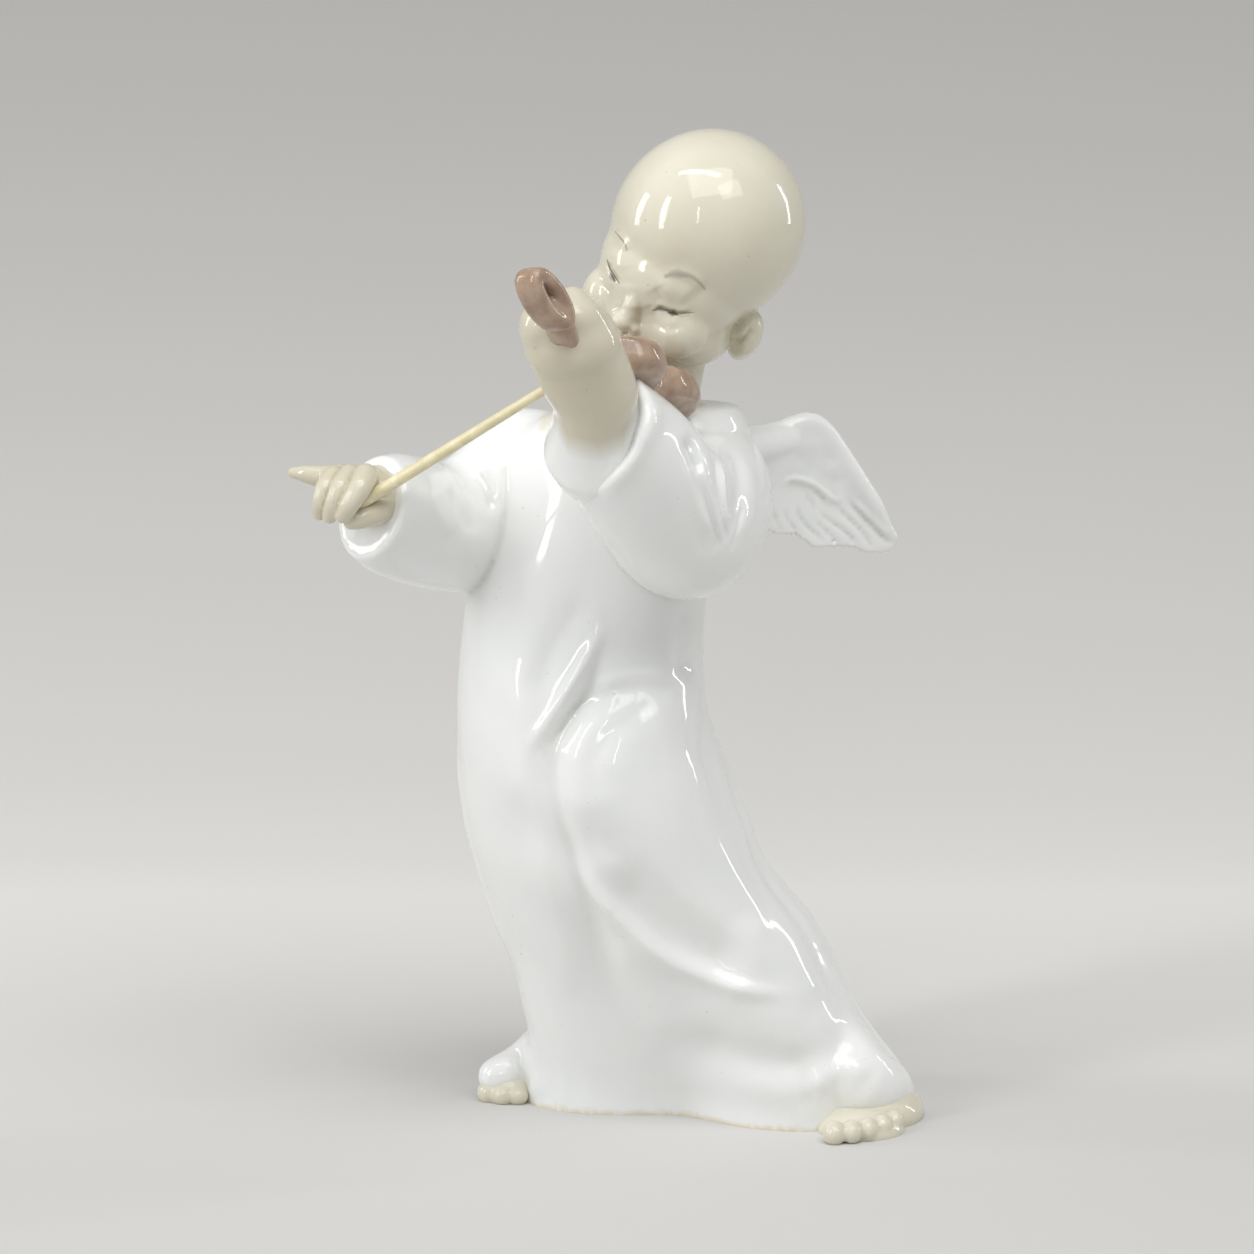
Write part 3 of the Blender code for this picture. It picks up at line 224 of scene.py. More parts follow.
# Half widths of the body by bout or waist: share of its length, and share of that half width
BODY_OUTLINE = (
    (LOWER_BOUT, ((0, 0.04), (0.036, 0.72), (0.143, 0.97), (0.262, 1), (0.393, 0.88))),
    (WAIST, ((0.488, 1), (0.583, 1))),
    (UPPER_BOUT, ((0.667, 0.9), (0.774, 1), (0.881, 0.95), (0.964, 0.7), (1, 0.04))),
)
# Pegbox and scroll, from the left palm
PEGBOX_PLACE = (-4.4, -17.5, 9.4)
PEGBOX_WAY = (-0.5, -0.5, 0.78)
PEGBOX_SIDE = (0.82, -0.55, 0.05)
PEGBOX_LENGTH = 15.0
PEGBOX_HEIGHT = 7.8
PEGBOX_WIDTH = 6.0
PEGBOX_WALL = 3.1
PEGBOX_FLOOR = 3.6
PEGBOX_FLOOR_SIZE = (2.7, 2.2, 4)
PEGBOX_HEEL = (-2.6, -11.5, 5.1)
PEGBOX_HEEL_SIZE = (3.3, 2.2, 7.5)

# Bow: a straight tapered stick. Its butt is placed from the right cuff and its tip from the left cuff
BOW_BUTT = (-3.7, -7.5, 0.9)
BOW_TIP = (-10.1, 1.5, 9)
BOW_BUTT_DIAMETER = 2.7
BOW_TIP_DIAMETER = 1.9

# Wing: reach as a share of WING_LENGTH, then top and bottom from the collar's height
WING = (
    (-0.09, -5.5, -27.7), (-0.03, -5.5, -27.7), (0.03, -5.5, -27.8), (0.09, -5.3, -28.9), (0.15, -5.1, -29.7),
    (0.2, -4.6, -29.8), (0.26, -4.2, -30.1), (0.32, -4, -31.1), (0.38, -4.2, -32.6), (0.44, -4.9, -33.2),
    (0.49, -6.5, -33.3), (0.55, -8.7, -33.4), (0.61, -11.4, -33.4), (0.67, -14.2, -33.5),
    (0.73, -17.1, -34.3),
    (0.78, -19.8, -34.9), (0.84, -22.6, -35.1), (0.9, -25.6, -35.2), (0.96, -29, -34.6),
    (1.00, -31.4, -33.2),
)
WING_THICKNESS = 6.6
WING_ROOT_RADIUS = 4.6
WING_ROOT_TUCK = 9.0
WING_ROOT_REACH = 7.0
WING_ROOT_DROP = (11, 9.5)
WING_EDGE = 1.0
WING_THINNING = 0.55
WING_BAND = 0.66
WING_BAND_SPREAD = 0.5
LEFT_WING_ROOT = (12, 13)
LEFT_WING_TURN = 28.0
RIGHT_WING_ROOT = (-21, 21)
RIGHT_WING_TURN = 102.0

# Relief drawn as strokes, each a path, a half width and a height. Robe paths are shares of ROBE_HEIGHT.
ROBE_FOLDS = (
    (((-0.13, 0.698), (-0.156, 0.649), (-0.187, 0.592), (-0.218, 0.545), (-0.236, 0.514)), 1.4, 1.7),
    (((-0.151, 0.752), (-0.187, 0.69), (-0.218, 0.628), (-0.236, 0.576)), 3, -0.9),
    (((-0.13, 0.649), (-0.156, 0.602), (-0.182, 0.56), (-0.208, 0.524)), 2.2, -0.9),
    (((-0.179, 0.493), (-0.151, 0.544), (-0.114, 0.575), (-0.073, 0.596), (-0.045, 0.606)), 2.3, 0.3),
    (((-0.099, 0.143), (-0.117, 0.187), (-0.143, 0.249), (-0.165, 0.317), (-0.184, 0.384),
      (-0.198, 0.45), (-0.203, 0.514), (-0.187, 0.56), (-0.156, 0.589), (-0.114, 0.605),
      (-0.068, 0.611), (-0.04, 0.614)), 2.9, -2),
    (((-0.163, 0.38), (-0.155, 0.465), (-0.122, 0.532), (-0.068, 0.572), (0.005, 0.588)), 7.5, 2.1),
    (((-0.151, 0.608), (-0.109, 0.621), (-0.068, 0.625), (-0.031, 0.618)), 1.1, 0.7),
    (((-0.177, 0.384), (-0.151, 0.335), (-0.125, 0.305), (-0.088, 0.27), (-0.047, 0.238),
      (0.005, 0.213), (0.072, 0.192), (0.14, 0.182)), 1.7, 2),
    (((-0.13, 0.369), (-0.099, 0.327), (-0.047, 0.281), (0.005, 0.247), (0.072, 0.216)), 4.5, -2.3),
    (((-0.119, 0.27), (-0.088, 0.218), (-0.057, 0.167), (-0.037, 0.11)), 4, 0.9),
    (((-0.026, 0.143), (0.015, 0.117), (0.072, 0.097), (0.134, 0.089), (0.181, 0.107)), 3.6, -1.9),
    (((0.005, 0.2), (0.072, 0.174), (0.14, 0.154), (0.202, 0.115)), 4, 0.8),
    (((0.057, 0.301), (0.083, 0.249), (0.124, 0.208), (0.166, 0.161)), 4, 1),
    (((-0.247, 0.141), (-0.236, 0.104), (-0.228, 0.063), (-0.222, 0.037)), 1.8, 1),
    (((-0.256, 0.12), (-0.247, 0.084), (-0.243, 0.047)), 1.6, -1.3),
    (((-0.252, 0.654), (-0.246, 0.576), (-0.252, 0.493), (-0.249, 0.421)), 3.5, 0.8),
    (((0.147, 0.045), (0.176, 0.076), (0.207, 0.084), (0.233, 0.063)), 2.4, 1),
    (((0.14, 0.084), (0.153, 0.058), (0.14, 0.021)), 2, -0.4),
    (((-0.234, 0.421), (-0.213, 0.343), (-0.192, 0.265), (-0.177, 0.161)), 4, 0.7),
    (((-0.016, 0.726), (-0.018, 0.669), (-0.021, 0.612)), 2.2, -0.9),
)

# The same from behind, and from the viewer's right and left
BACK_FOLDS = (
    (((0.115, 0.07), (0.135, 0.26), (0.165, 0.46), (0.175, 0.62)), 2.6, 1.3),
    (((0.04, 0.05), (0.07, 0.25), (0.115, 0.45), (0.14, 0.62)), 3.2, -1.6),
    (((-0.05, 0.05), (0, 0.22), (0.06, 0.42), (0.1, 0.6)), 3, 1.4),
    (((-0.14, 0.05), (-0.08, 0.2), (0.005, 0.38), (0.06, 0.54)), 3.4, -1.6),
    (((-0.22, 0.05), (-0.16, 0.16), (-0.07, 0.32), (0.02, 0.46)), 3, 1.2),
    (((0.19, 0.08), (0.205, 0.26), (0.215, 0.44), (0.215, 0.6)), 2.8, -1.2),
    (((0.12, 0.93), (0.105, 0.84), (0.11, 0.74)), 3.4, -1.4),
)
RIGHT_SIDE_FOLDS = (
    (((-0.03, 0.06), (-0.02, 0.2), (0, 0.36), (0.015, 0.52)), 3.2, -1.3),
    (((0.06, 0.05), (0.055, 0.22), (0.05, 0.4), (0.04, 0.56)), 2.8, 1.1),
    (((0.15, 0.05), (0.13, 0.22), (0.11, 0.38)), 3, -1.2),
)
LEFT_SIDE_FOLDS = (
    (((-0.12, 0.1), (-0.11, 0.28), (-0.09, 0.46)), 3, -1.2),
    (((-0.04, 0.16), (-0.035, 0.34), (-0.03, 0.52)), 3.2, 1.1),
)
# Sleeve, face and feather paths are drawn from the collar's height
SLEEVE_FOLDS = (
    (((-0.3, -8.5), (1.6, -13.8), (3.3, -21.2), (5, -29.5)), 0.9, 0.25),
    (((4.1, -7.5), (5.5, -12.4), (5, -21.2), (5.3, -29)), 1, 0.3),
    (((7.5, -10.9), (10.4, -15.3), (10.7, -22.2), (7.5, -29)), 1.2, 0.4),
    (((-3.3, -11.4), (-1.3, -19.7), (2.6, -28)), 0.9, 0.5),
    (((-1.7, -9.9), (0.2, -17.3), (3.8, -27)), 0.8, -0.2),
    (((1.9, -8), (3.8, -14.8), (4.3, -24.6)), 0.9, -0.3),
    (((5.8, -8.9), (8, -14.8), (7.7, -23.1), (6, -29)), 1.1, -0.7),
    (((-2.8, -6.5), (-0.8, -10.9), (0.2, -14.8)), 1.4, -1.2),
    (((12.6, -2.6), (14.8, -8.9), (15.3, -15.3), (13.4, -24.6)), 1.3, -0.9),
    (((-21.9, -19.8), (-17.9, -15.6), (-14, -10.9), (-10.4, -4.5), (-10.1, -0.6),
      (-12.1, 3.8)), 2.2, 1),
    (((-25.3, -17.3), (-20.9, -15.3), (-16, -9.9), (-13.1, -5.5)), 2.6, -1),
    (((4.6, -30.5), (2.6, -29), (-1.3, -30)), 3, -0.5),
)

RIGHT_SLEEVE_FOLDS = (
    (((-52, -16.5), (-49.5, -21.5), (-46.5, -27.5)), 1.6, -0.8),
    (((-57, -16), (-55, -22), (-51.5, -28.5)), 1.8, 0.7),
    (((-46, -13.5), (-44, -17.5), (-43, -23)), 1.6, -1),
)
FACE_LINES = (
    (((-7.1, 25.9), (-5.5, 26.7), (-3.6, 26.7), (-1.7, 26.1), (-0.1, 24.9), (1, 23.6)), 1.3, 0.35),
    (((-8.7, 22), (-6.1, 23.6), (-3.6, 23.6), (-1.4, 21.7)), 3.2, 0.68),
    (((-9.6, 19.6), (-8, 20.3), (-6.1, 19.8), (-3.9, 19.3), (-1.7, 19.1)), 0.8, 0.32),
    (((-9.8, 19.1), (-8.2, 19.6), (-6.6, 19.1), (-4.9, 18.6), (-3, 18.6), (-1.2, 18.7)), 0.42, -0.75),
    (((-9.6, 17.9), (-8, 17.6), (-6.1, 17.2), (-3.9, 17.6)), 0.9, 0.17),
    (((-10.7, 17.6), (-8.7, 16), (-6.8, 15.2), (-4.6, 15.5), (-2.7, 16.3)), 0.7, -0.18),
    (((-11.2, 20.1), (-10.4, 18.8), (-10, 17.6)), 1.2, -0.25),
    (((-9.6, 23.9), (-8.7, 22), (-10, 20.1)), 2.2, -0.3),
    (((-17.6, 35.5), (-16.5, 34.2), (-15.6, 33), (-15.1, 31.5)), 1.2, 0.3),
    (((-19.2, 29.6), (-18.7, 28), (-17.9, 26.6), (-16.7, 24.8)), 0.42, -0.7),
    (((-18.2, 31.8), (-17.1, 29.6), (-16.3, 27.1)), 2, 0.21),
    (((-19.9, 27.4), (-19.2, 25.5), (-17.6, 24.2)), 0.9, 0.2),
    (((-20.9, 25.7), (-19.5, 23.8), (-17.6, 23.1)), 0.6, -0.14),
    (((-15, 25.2), (-15.3, 22), (-16, 19.1)), 2, 0.3),
    (((-13.1, 20.1), (-12.5, 17.6), (-12.6, 15.7)), 1.4, -0.35),
    (((-16.1, 14.5), (-15.5, 14.2), (-15, 14)), 0.6, -0.9),
    (((-13.4, 17.2), (-12.5, 16), (-12.8, 13.8), (-14.4, 12.8)), 0.6, -0.25),
    (((-15.3, 12.8), (-15, 11.5)), 1.2, -0.16),
    (((-8.7, 12.5), (-4.9, 11.9), (-1.7, 13.1)), 4.5, 0.21),
    (((6.5, 11.4), (8, 12.8), (9.9, 14.4), (11.6, 15.7)), 1.15, -1.18),
    (((13.1, 17.6), (13.7, 15), (12.6, 12.5), (10, 10.7), (6.9, 9.6)), 0.8, 0.5),
    (((4.6, 9.6), (5.6, 12.2), (7.5, 15), (10.4, 16.9)), 0.9, -0.3),
)

FEATHERS = (
    (((3.6, -6.9), (8.3, -5.9), (12.5, -5.6), (16.2, -7.6), (19.4, -11.5), (24.3, -18.4),
      (29.8, -25.9), (33.3, -30.8)), 1.8, 1.4),
    (((7, -12.8), (10.7, -13), (14.7, -13.3), (18.4, -15.3)), 2.4, -0.55),
    (((9.4, -15.3), (13.1, -15.9), (16.8, -18), (20.3, -19.6)), 1.6, -0.4),
    (((4.4, -19.1), (7.1, -17.4), (10.2, -17.8), (13.1, -18.9), (16.3, -21.2), (18.5, -22.7),
      (20.9, -21.5)), 0.5, 0.85),
    (((20.9, -21.7), (23.8, -25.1), (27.4, -28.3), (31.2, -31.8), (33.9, -33.2)), 0.4, -0.77),
    (((17.9, -22.9), (21.2, -26.1), (25, -29.6), (27.7, -32.8), (29, -34.7)), 0.4, -0.68),
    (((14.2, -24.3), (17.4, -27), (21.2, -29.6), (23.6, -31.8), (25, -34)), 0.4, -0.68),
    (((13.2, -26.5), (16.4, -29), (19.4, -31.8), (20.7, -33.3)), 0.4, -0.68),
    (((8.9, -22.4), (10, -25.4), (12.2, -28.1), (14.8, -30.1), (17, -32.3)), 0.4, -0.68),
    (((6.3, -22.7), (6.9, -25.2), (8.4, -27.6), (10.8, -30.3)), 0.4, -0.59),
    (((3.7, -23.2), (4.2, -25.5), (5.6, -27.9), (6.6, -29.6)), 0.4, -0.51),
    (((13.1, -20.1), (15.3, -22), (15.8, -23.9)), 0.35, -0.51),
    (((11, -20.9), (13.2, -23.3), (13.2, -25.1)), 0.35, -0.51),
    (((22.2, -22.5), (26, -25.9), (29.8, -29.4), (32.8, -31.7)), 0.5, 0.6),
)

# How a stroke fades where the surface turns from the eye, and towards its two ends
SEEN_FROM = 0.05
SEEN_OVER = 0.4
STROKE_END = 0.25

# Fineness of each skin in millimetres, and the most triangles for the robe with its wings
ROBE_VOXEL = 0.6
WING_VOXEL = 0.4
WHITE_VOXEL = 0.5
HEAD_VOXEL = 0.4
ARM_VOXEL = 0.45
HAND_VOXEL = 0.3
FEET_VOXEL = 0.4
VIOLIN_VOXEL = 0.35
WHITE_TRIANGLES = 165000

# How far each kind of joint is softened, and how near zero a point counts as the rim of the foot
SKIN_SOFT = 1.8
HAND_SOFT = 2.2
SEAM_SOFT = 0.9
WING_SOFT = 0.5
FINGER_SOFT = 0.45
RIM_NEAR = 0.001

# How far a hollow reaches and how strongly the painted shade in it deepens, partly as pooled glaze does, and
# the sharpest bend that counts
SKIN_HOLLOW_SHADE = (0.8, 1.6)
HAND_HOLLOW_SHADE = (0.8, 2.6)
ROBE_HOLLOW_SHADE = (1.2, 2.2)
SHARPEST_BEND = 0.6

# Brush lines, in shares of their width: how wide their ends are, and where their edge fades out
BRUSH_END = 0.35
BRUSH_FADE = 1.25

# How near a fine stroke faces get finer and points are looked at, in millimetres, and the cuts in each edge
BRUSH_REACH = 1.0
BRUSH_MARGIN = 3
BRUSH_CUTS = 3

# Glaze: its roughness from glossy to dull, the roughness of the bare rim, and the tint of a pin speck
GLOSS = (0.05, 0.11)
BARE_ROUGHNESS = 0.6
SPECK = (0.8, 0.77, 0.7, 1.0)

# Camera: a pixel of the photograph at the figure and the sensor in millimetres, and the pixels in a row
PHOTO_PIXEL = 0.2073
PHOTO_SIZE = 1254
SENSOR_WIDTH = 36.0

# Setting in metres, with the strength of the sky and the place that the lamps point at
TABLE_FRONT = -1.2
TABLE_HALF_WIDTH = 2.2
SWEEP_START = 0.25
SWEEP_RADIUS = 0.6
WALL_TOP = 2.2
SKY_STRENGTH = 0.43
LAMP_AIM = (0.0, 0.0, 0.1)

# Lamps round the figure: place, width and height in metres, and watts
LAMPS = {
    "left_window": ((-1.05, 0.05, 0.52), 0.18, 0.55, 2.0),
    "left_front_window": ((-0.8, -0.6, 0.55), 0.14, 0.65, 3.0),
    "front_strip": ((-0.12, -1.15, 0.55), 0.045, 0.45, 0.5),
    "right_front_box": ((0.55, -0.65, 1.0), 0.5, 0.4, 1.6),
    "right_strip": ((0.95, 0.4, 0.4), 0.05, 0.5, 0.9),
    "ceiling_strip": ((-0.1, -0.3, 1.15), 0.8, 0.09, 1.7),
    "top_box": ((0.1, -0.5, 1.0), 0.8, 0.6, 3.9),
}


def smooth_rows(rows, steps, closed=False):
    """Catmull-Rom points through the rows, which may hold any count of numbers."""
    rows = np.asarray(rows, float)
    count = len(rows)
    found = []
    for i in range(count if closed else count - 1):
        if closed:
            a, b, c, d = (rows[(i + k) % count] for k in (-1, 0, 1, 2))
        else:
            b, c = rows[i], rows[i + 1]
            a = rows[i - 1] if i else 2 * b - c
            d = rows[i + 2] if i + 2 < count else 2 * c - b
        for k in range(steps):
            t = k / steps
            found.append(
                0.5 * (
                    2 * b + (c - a) * t + (2 * a - 5 * b + 4 * c - d) * t**2 + (3 * b - a - 3 * c + d) * t**3
                )
            )
    if not closed:
        found.append(rows[-1])
    return np.array(found)


def turns_round(count):
    return np.linspace(0, 2 * pi, count, endpoint=False)


def add_object(name, data):
    obj = bpy.data.objects.new(name, data)
    bpy.context.scene.collection.objects.link(obj)
    return obj


def mesh_object(name, bm):
    """A new object from what a bmesh holds, which is freed."""
    mesh = bpy.data.meshes.new(name)
    bm.to_mesh(mesh)
    bm.free()
    return add_object(name, mesh)


def skin(name, rings, round_trip=False):
    """A closed mesh through rings of as many points each, in millimetres, capped or joined end to end."""
    bm = bmesh.new()
    loops = [[bm.verts.new(Vector(p) * MM) for p in ring] for ring in rings]
    count = len(loops[0])
    for low, high in zip(loops, loops[1:] + loops[:1] * round_trip):
        for i in range(count):
            j = (i + 1) % count
            bm.faces.new((low[i], low[j], high[j], high[i]))
    if not round_trip:
        bm.faces.new(reversed(loops[0]))
        bm.faces.new(loops[-1])
    bmesh.ops.recalc_face_normals(bm, faces=bm.faces)
    return mesh_object(name, bm)


def blob(name, centre, radii, axes=None):
    """An ellipsoid, with its radii along the given axes."""
    frame = Matrix.Identity(3) if axes is None else Matrix(axes).transposed()
    scale = Matrix.Diagonal([r * MM for r in radii]).to_3x3()
    place = Matrix.Translation(Vector(centre) * MM) @ (frame @ scale).to_4x4()
    bm = bmesh.new()
    bmesh.ops.create_icosphere(bm, subdivisions=4, radius=1.0, matrix=place)
    return mesh_object(name, bm)


def limb(name, stations, sides=24):
    """A round tube with round ends through stations of x, y, z and radius."""
    path = smooth_rows(stations, 5)
    points, radii = path[:, :3], path[:, 3]
    ways = np.gradient(points, axis=0)
    ways /= np.linalg.norm(ways, axis=1)[:, None]
    turns = turns_round(sides)
    side = np.cross(ways[0], (0.3, 0.5, 0.8))

    def ring(centre, way, radius):
        nonlocal side
        side = side - way * (side @ way)
        side /= np.linalg.norm(side)
        up = np.cross(way, side)
        return [centre + radius * (cos(t) * side + sin(t) * up) for t in turns]

    def cap(i, sign, angles):
        leans = [radians(angle) for angle in angles]
        ends = [points[i] + sign * ways[i] * radii[i] * sin(lean) for lean in leans]
        return [ring(end, ways[i], radii[i] * cos(lean)) for end, lean in zip(ends, leans)]

    first = cap(0, -1, (80, 55, 28))
    middle = [ring(p, w, r) for p, w, r in zip(points, ways, radii)]
    return skin(name, first + middle + cap(-1, 1, (28, 55, 80)))


def placed_limb(name, place, stations):
    return limb(name, [(*place(p), p[3]) for p in stations])


def placed_blobs(name, place, forms, axes=None):
    return [blob(name, place(form), form[3:], axes) for form in forms]


def facing(turn, rise, roll):
    """The way, the wide axis and the tall axis of a ring that faces turn degrees to the viewer's left."""
    a, b, c = (radians(v) for v in (turn, rise, roll))
    way = np.array((-sin(a) * cos(b), -cos(a) * cos(b), sin(b)))
    wide = np.array((cos(a), -sin(a), 0.0))
    tall = np.cross(wide, way)
    tall = tall if tall[2] > 0 else -tall
    return way, wide * cos(c) - tall * sin(c), tall * cos(c) + wide * sin(c)


def from_collar(x, y, z):
    return np.array((x, y, z + ROBE_HEIGHT))


def sleeve_rows(shoulder, reach, stations):
    rows = np.array(stations, float)
    rows[:, :3] = rows[:, :3] * reach + from_collar(*shoulder)
    return rows


def left_cuff(offset):
    """A point given from the middle of the left cuff."""
    return sleeve_rows(*LEFT_ARM)[-1, :3] + np.array(offset[:3])


def right_cuff(offset):
    """A point given from the middle of the right cuff."""
    return sleeve_rows(*RIGHT_ARM)[-1, :3] + np.array(offset[:3])


def sleeve(name, rows, depth):
    """A sleeve whose last ring is an open cuff, with a rounded lip and a hollow mouth."""
    turns = turns_round(40)

    def ring(row, inset=0.0, shift=0.0):
        way, wide, tall = facing(*row[5:])
        centre = row[:3] + way * shift
        half_wide, half_tall = (row[3] - inset) * wide, (row[4] - inset) * tall
        return [centre + half_wide * cos(t) + half_tall * sin(t) for t in turns]

    rows = smooth_rows(rows, 5)
    rings = [ring(row) for row in rows]
    mouth = rows[-1]
    for angle in (30, 60, 90, 120, 150):
        lean = radians(angle)
        rings.append(ring(mouth, CUFF_LIP * (1 - cos(lean)) / 2, CUFF_LIP * sin(lean) / 2))
    for k in range(1, 5):
        share = k / 4
        rings.append(ring(mouth, CUFF_LIP + CUFF_TAPER * share**2, -depth * share))
    return skin(name, rings)


def robe_body():
    rows = smooth_rows(ROBE_SECTIONS, 5)
    rings = []
    for row in rows:
        height, x, y = row[0] * ROBE_HEIGHT, row[1], row[2]
        radii = smooth_rows(row[3:][:, None], 6, closed=True)[:, 0]
        turns = turns_round(len(radii))
        rings.append([(x + r * cos(t), y + r * sin(t), height) for r, t in zip(radii, turns)])
    return skin("robe_body", rings)


def eye_sheet(points, azimuth=0.0):
    """Where the eye at that azimuth sees the points, in millimetres on its drawing, and the way to it."""
    a, b = radians(azimuth), radians(EYE_ELEVATION)
    right = np.array((cos(a), sin(a), 0.0))
    to_eye = np.array((sin(a) * cos(b), -cos(a) * cos(b), sin(b)))
    up = np.cross(to_eye, right)
    target = np.array(EYE_TARGET)
    eye = target + EYE_DISTANCE * to_eye
    reach = points - eye
    near = EYE_DISTANCE / -(reach @ to_eye)
    flat = np.stack(((reach @ right) * near, (reach @ up) * near), axis=1)
    offset = np.array((target @ right, target[2]))
    return flat + offset, to_eye


def front(azimuth=0.0):
    """A drawing seen by the eye at that azimuth: places on it, and how squarely each point faces it."""

    def sheet(points, normals):
        flat, to_eye = eye_sheet(points, azimuth)
        return flat, np.clip((normals @ to_eye - SEEN_FROM) / SEEN_OVER, 0, 1)

    return sheet


def press(obj, strokes, sheet, unit=1.0, base=0.0):
    """Raises or sinks the surface along strokes drawn on a sheet: a path, a half width and a height."""
    mesh = obj.data
    points, normals, _ = mesh_arrays(mesh)
    flat, seen = sheet(points, normals)
    lift = np.zeros(len(points))
    for path, half_width, height in strokes:
        line = smooth_rows(np.array(path) * unit + np.array((0.0, base)), 6)
        near_by, gap, along = seen_near(line, 3 * half_width, flat, seen)
        ends = np.clip(np.minimum(along, 1 - along) / STROKE_END, 0, 1)
        ends = ends * ends * (3 - 2 * ends)
        lift[near_by] += height * ends * np.exp(-((gap / half_width) ** 2)) * seen[near_by]
    points += normals * lift[:, None]
    mesh.vertices.foreach_set("co", (points * MM).ravel())
    mesh.update()


def seen_near(line, margin, flat, seen):
    """The points in view that lie round a line, their distance from it, and how far along it they are."""
    inside = ((flat > line.min(0) - margin) & (flat < line.max(0) + margin)).all(1) & (seen > 0)
    chosen = np.flatnonzero(inside)
    return chosen, *distance_along(flat[chosen], line)


def distance_along(flat, line):
    """Each point's distance from a line, and how far along it the nearest place is, from 0 to 1."""
    lengths = np.linalg.norm(np.diff(line, axis=0), axis=1)
    run = np.concatenate(((0.0,), np.cumsum(lengths)))
    best = np.full(len(flat), np.inf)
    along = np.zeros(len(flat))
    for i, (a, b) in enumerate(zip(line, line[1:])):
        step = b - a
        share = np.clip(((flat - a) @ step) / (step @ step), 0, 1)
        gap = np.linalg.norm(flat - a - share[:, None] * step, axis=1)
        near = gap < best
        best[near] = gap[near]
        along[near] = (run[i] + share * lengths[i])[near] / run[-1]
    return best, along


def fuse(name, pieces, voxel, soft):
    """One closed skin round the pieces, softened over that many millimetres as glaze softens a joint."""
    bm = bmesh.new()
    for piece in pieces:
        bm.from_mesh(piece.data)
    for piece in pieces:
        bpy.data.objects.remove(piece)
    obj = mesh_object(name, bm)
    remesh = obj.modifiers.new("skin", "REMESH")
    remesh.mode = "VOXEL"
    remesh.voxel_size = voxel * MM
    remesh.use_smooth_shade = True
    smooth = obj.modifiers.new("soft", "SMOOTH")
    smooth.factor = 0.5
    smooth.iterations = max(1, round(2 * (soft / voxel) ** 2))
    return settled(obj)


def settled(obj):
    """The object with its modifiers turned into plain mesh."""
    graph = bpy.context.evaluated_depsgraph_get()
    mesh = bpy.data.meshes.new_from_object(obj.evaluated_get(graph))
    obj.modifiers.clear()
    obj.data = mesh
    return obj


def press_from_collar(obj, strokes):
    """Presses strokes that are drawn in millimetres from the collar's height."""
    press(obj, strokes, front(), base=ROBE_HEIGHT)


def robe(voxel):
    """The white robe with both sleeves, its folds pressed in."""
    forms = [robe_body(), limb("thigh", THIGH), limb("right_hem", RIGHT_HEM), limb("left_hem", LEFT_HEM)]
    parts = [fuse("body", forms, voxel, SKIN_SOFT)]
    sides = ((0.0, ROBE_FOLDS), (180.0, BACK_FOLDS), (90.0, RIGHT_SIDE_FOLDS), (270.0, LEFT_SIDE_FOLDS))
    for azimuth, folds in sides:
        press(parts[0], folds, front(azimuth), ROBE_HEIGHT)
    for name, arm, depth, folds in (
        ("left_sleeve", LEFT_ARM, LEFT_CUFF_DEPTH, SLEEVE_FOLDS),
        ("right_sleeve", RIGHT_ARM, RIGHT_CUFF_DEPTH, RIGHT_SLEEVE_FOLDS),
    ):
        parts.append(fuse(name, [sleeve(name, sleeve_rows(*arm), depth)], voxel, SEAM_SOFT))
        press_from_collar(parts[-1], folds)
    return fuse("robe", parts, voxel, SEAM_SOFT)


def head_axes():
    """The head's own axes: to its left, up through the crown, and forward."""
    turn = Matrix.Rotation(radians(-HEAD_TURN), 3, "Z")
    nod = Matrix.Rotation(radians(HEAD_NOD), 3, "X")
    tilt = Matrix.Rotation(radians(HEAD_TILT), 3, "Y")
    frame = turn @ nod @ tilt
    return frame @ Vector((1, 0, 0)), frame @ Vector((0, 0, 1)), frame @ Vector((0, -1, 0))


def in_head(offset):
    """A point given from the middle of the skull, to its left, up and forward."""
    left, up, forward = (axis * reach for axis, reach in zip(head_axes(), offset))
    return Vector(from_collar(*HEAD_CENTRE)) + left + up + forward


def head(voxel):
    axes = head_axes()
    neck_foot = from_collar(*NECK_FOOT)
    pieces = placed_blobs("form", in_head, HEAD_FORMS, axes)
    pieces.append(blob("chest", neck_foot, CHEST))
    pieces.append(limb("neck", [(*neck_foot, NECK_RADIUS), (*in_head(NECK_TOP), NECK_RADIUS)]))
    details = [fuse("face", pieces, voxel, SKIN_SOFT)]
    details += placed_blobs("nose", in_head, NOSE_FORMS, axes)
    details.append(placed_limb("nose_bridge", in_head, NOSE_BRIDGE))
    for place, way in ((LEFT_EAR, 1), (RIGHT_EAR, -1)):
        swing = Matrix.Rotation(radians(EAR_TURN) * way, 3, axes[1])
        out, ahead = swing @ axes[0], swing @ axes[2]
        lean = Matrix.Rotation(radians(EAR_LEAN), 3, out)
        details.append(blob("ear", in_head(place), EAR, (out, lean @ axes[1], lean @ ahead)))
    skull = fuse("head", details, voxel, SEAM_SOFT)
    press_from_collar(skull, FACE_LINES)
    return skull


def left_arm(voxel):
    forearm = placed_limb("forearm", left_cuff, LEFT_FOREARM)
    hand = placed_blobs("hand", left_cuff, LEFT_HAND)
    flare = placed_limb("flare", left_cuff, LEFT_ARM_FLARE)
    return fuse("left_arm", [forearm, flare, *hand], voxel, HAND_SOFT)


def right_hand(voxel):
    wrist = placed_limb("wrist", right_cuff, RIGHT_WRIST)
    palm = fuse("palm", [wrist, *placed_blobs("palm", right_cuff, RIGHT_PALM)], voxel, SEAM_SOFT)
    fingers = [placed_limb("finger", right_cuff, finger) for finger in RIGHT_FINGERS]
    return fuse("right_hand", [palm, *fingers], voxel, FINGER_SOFT)


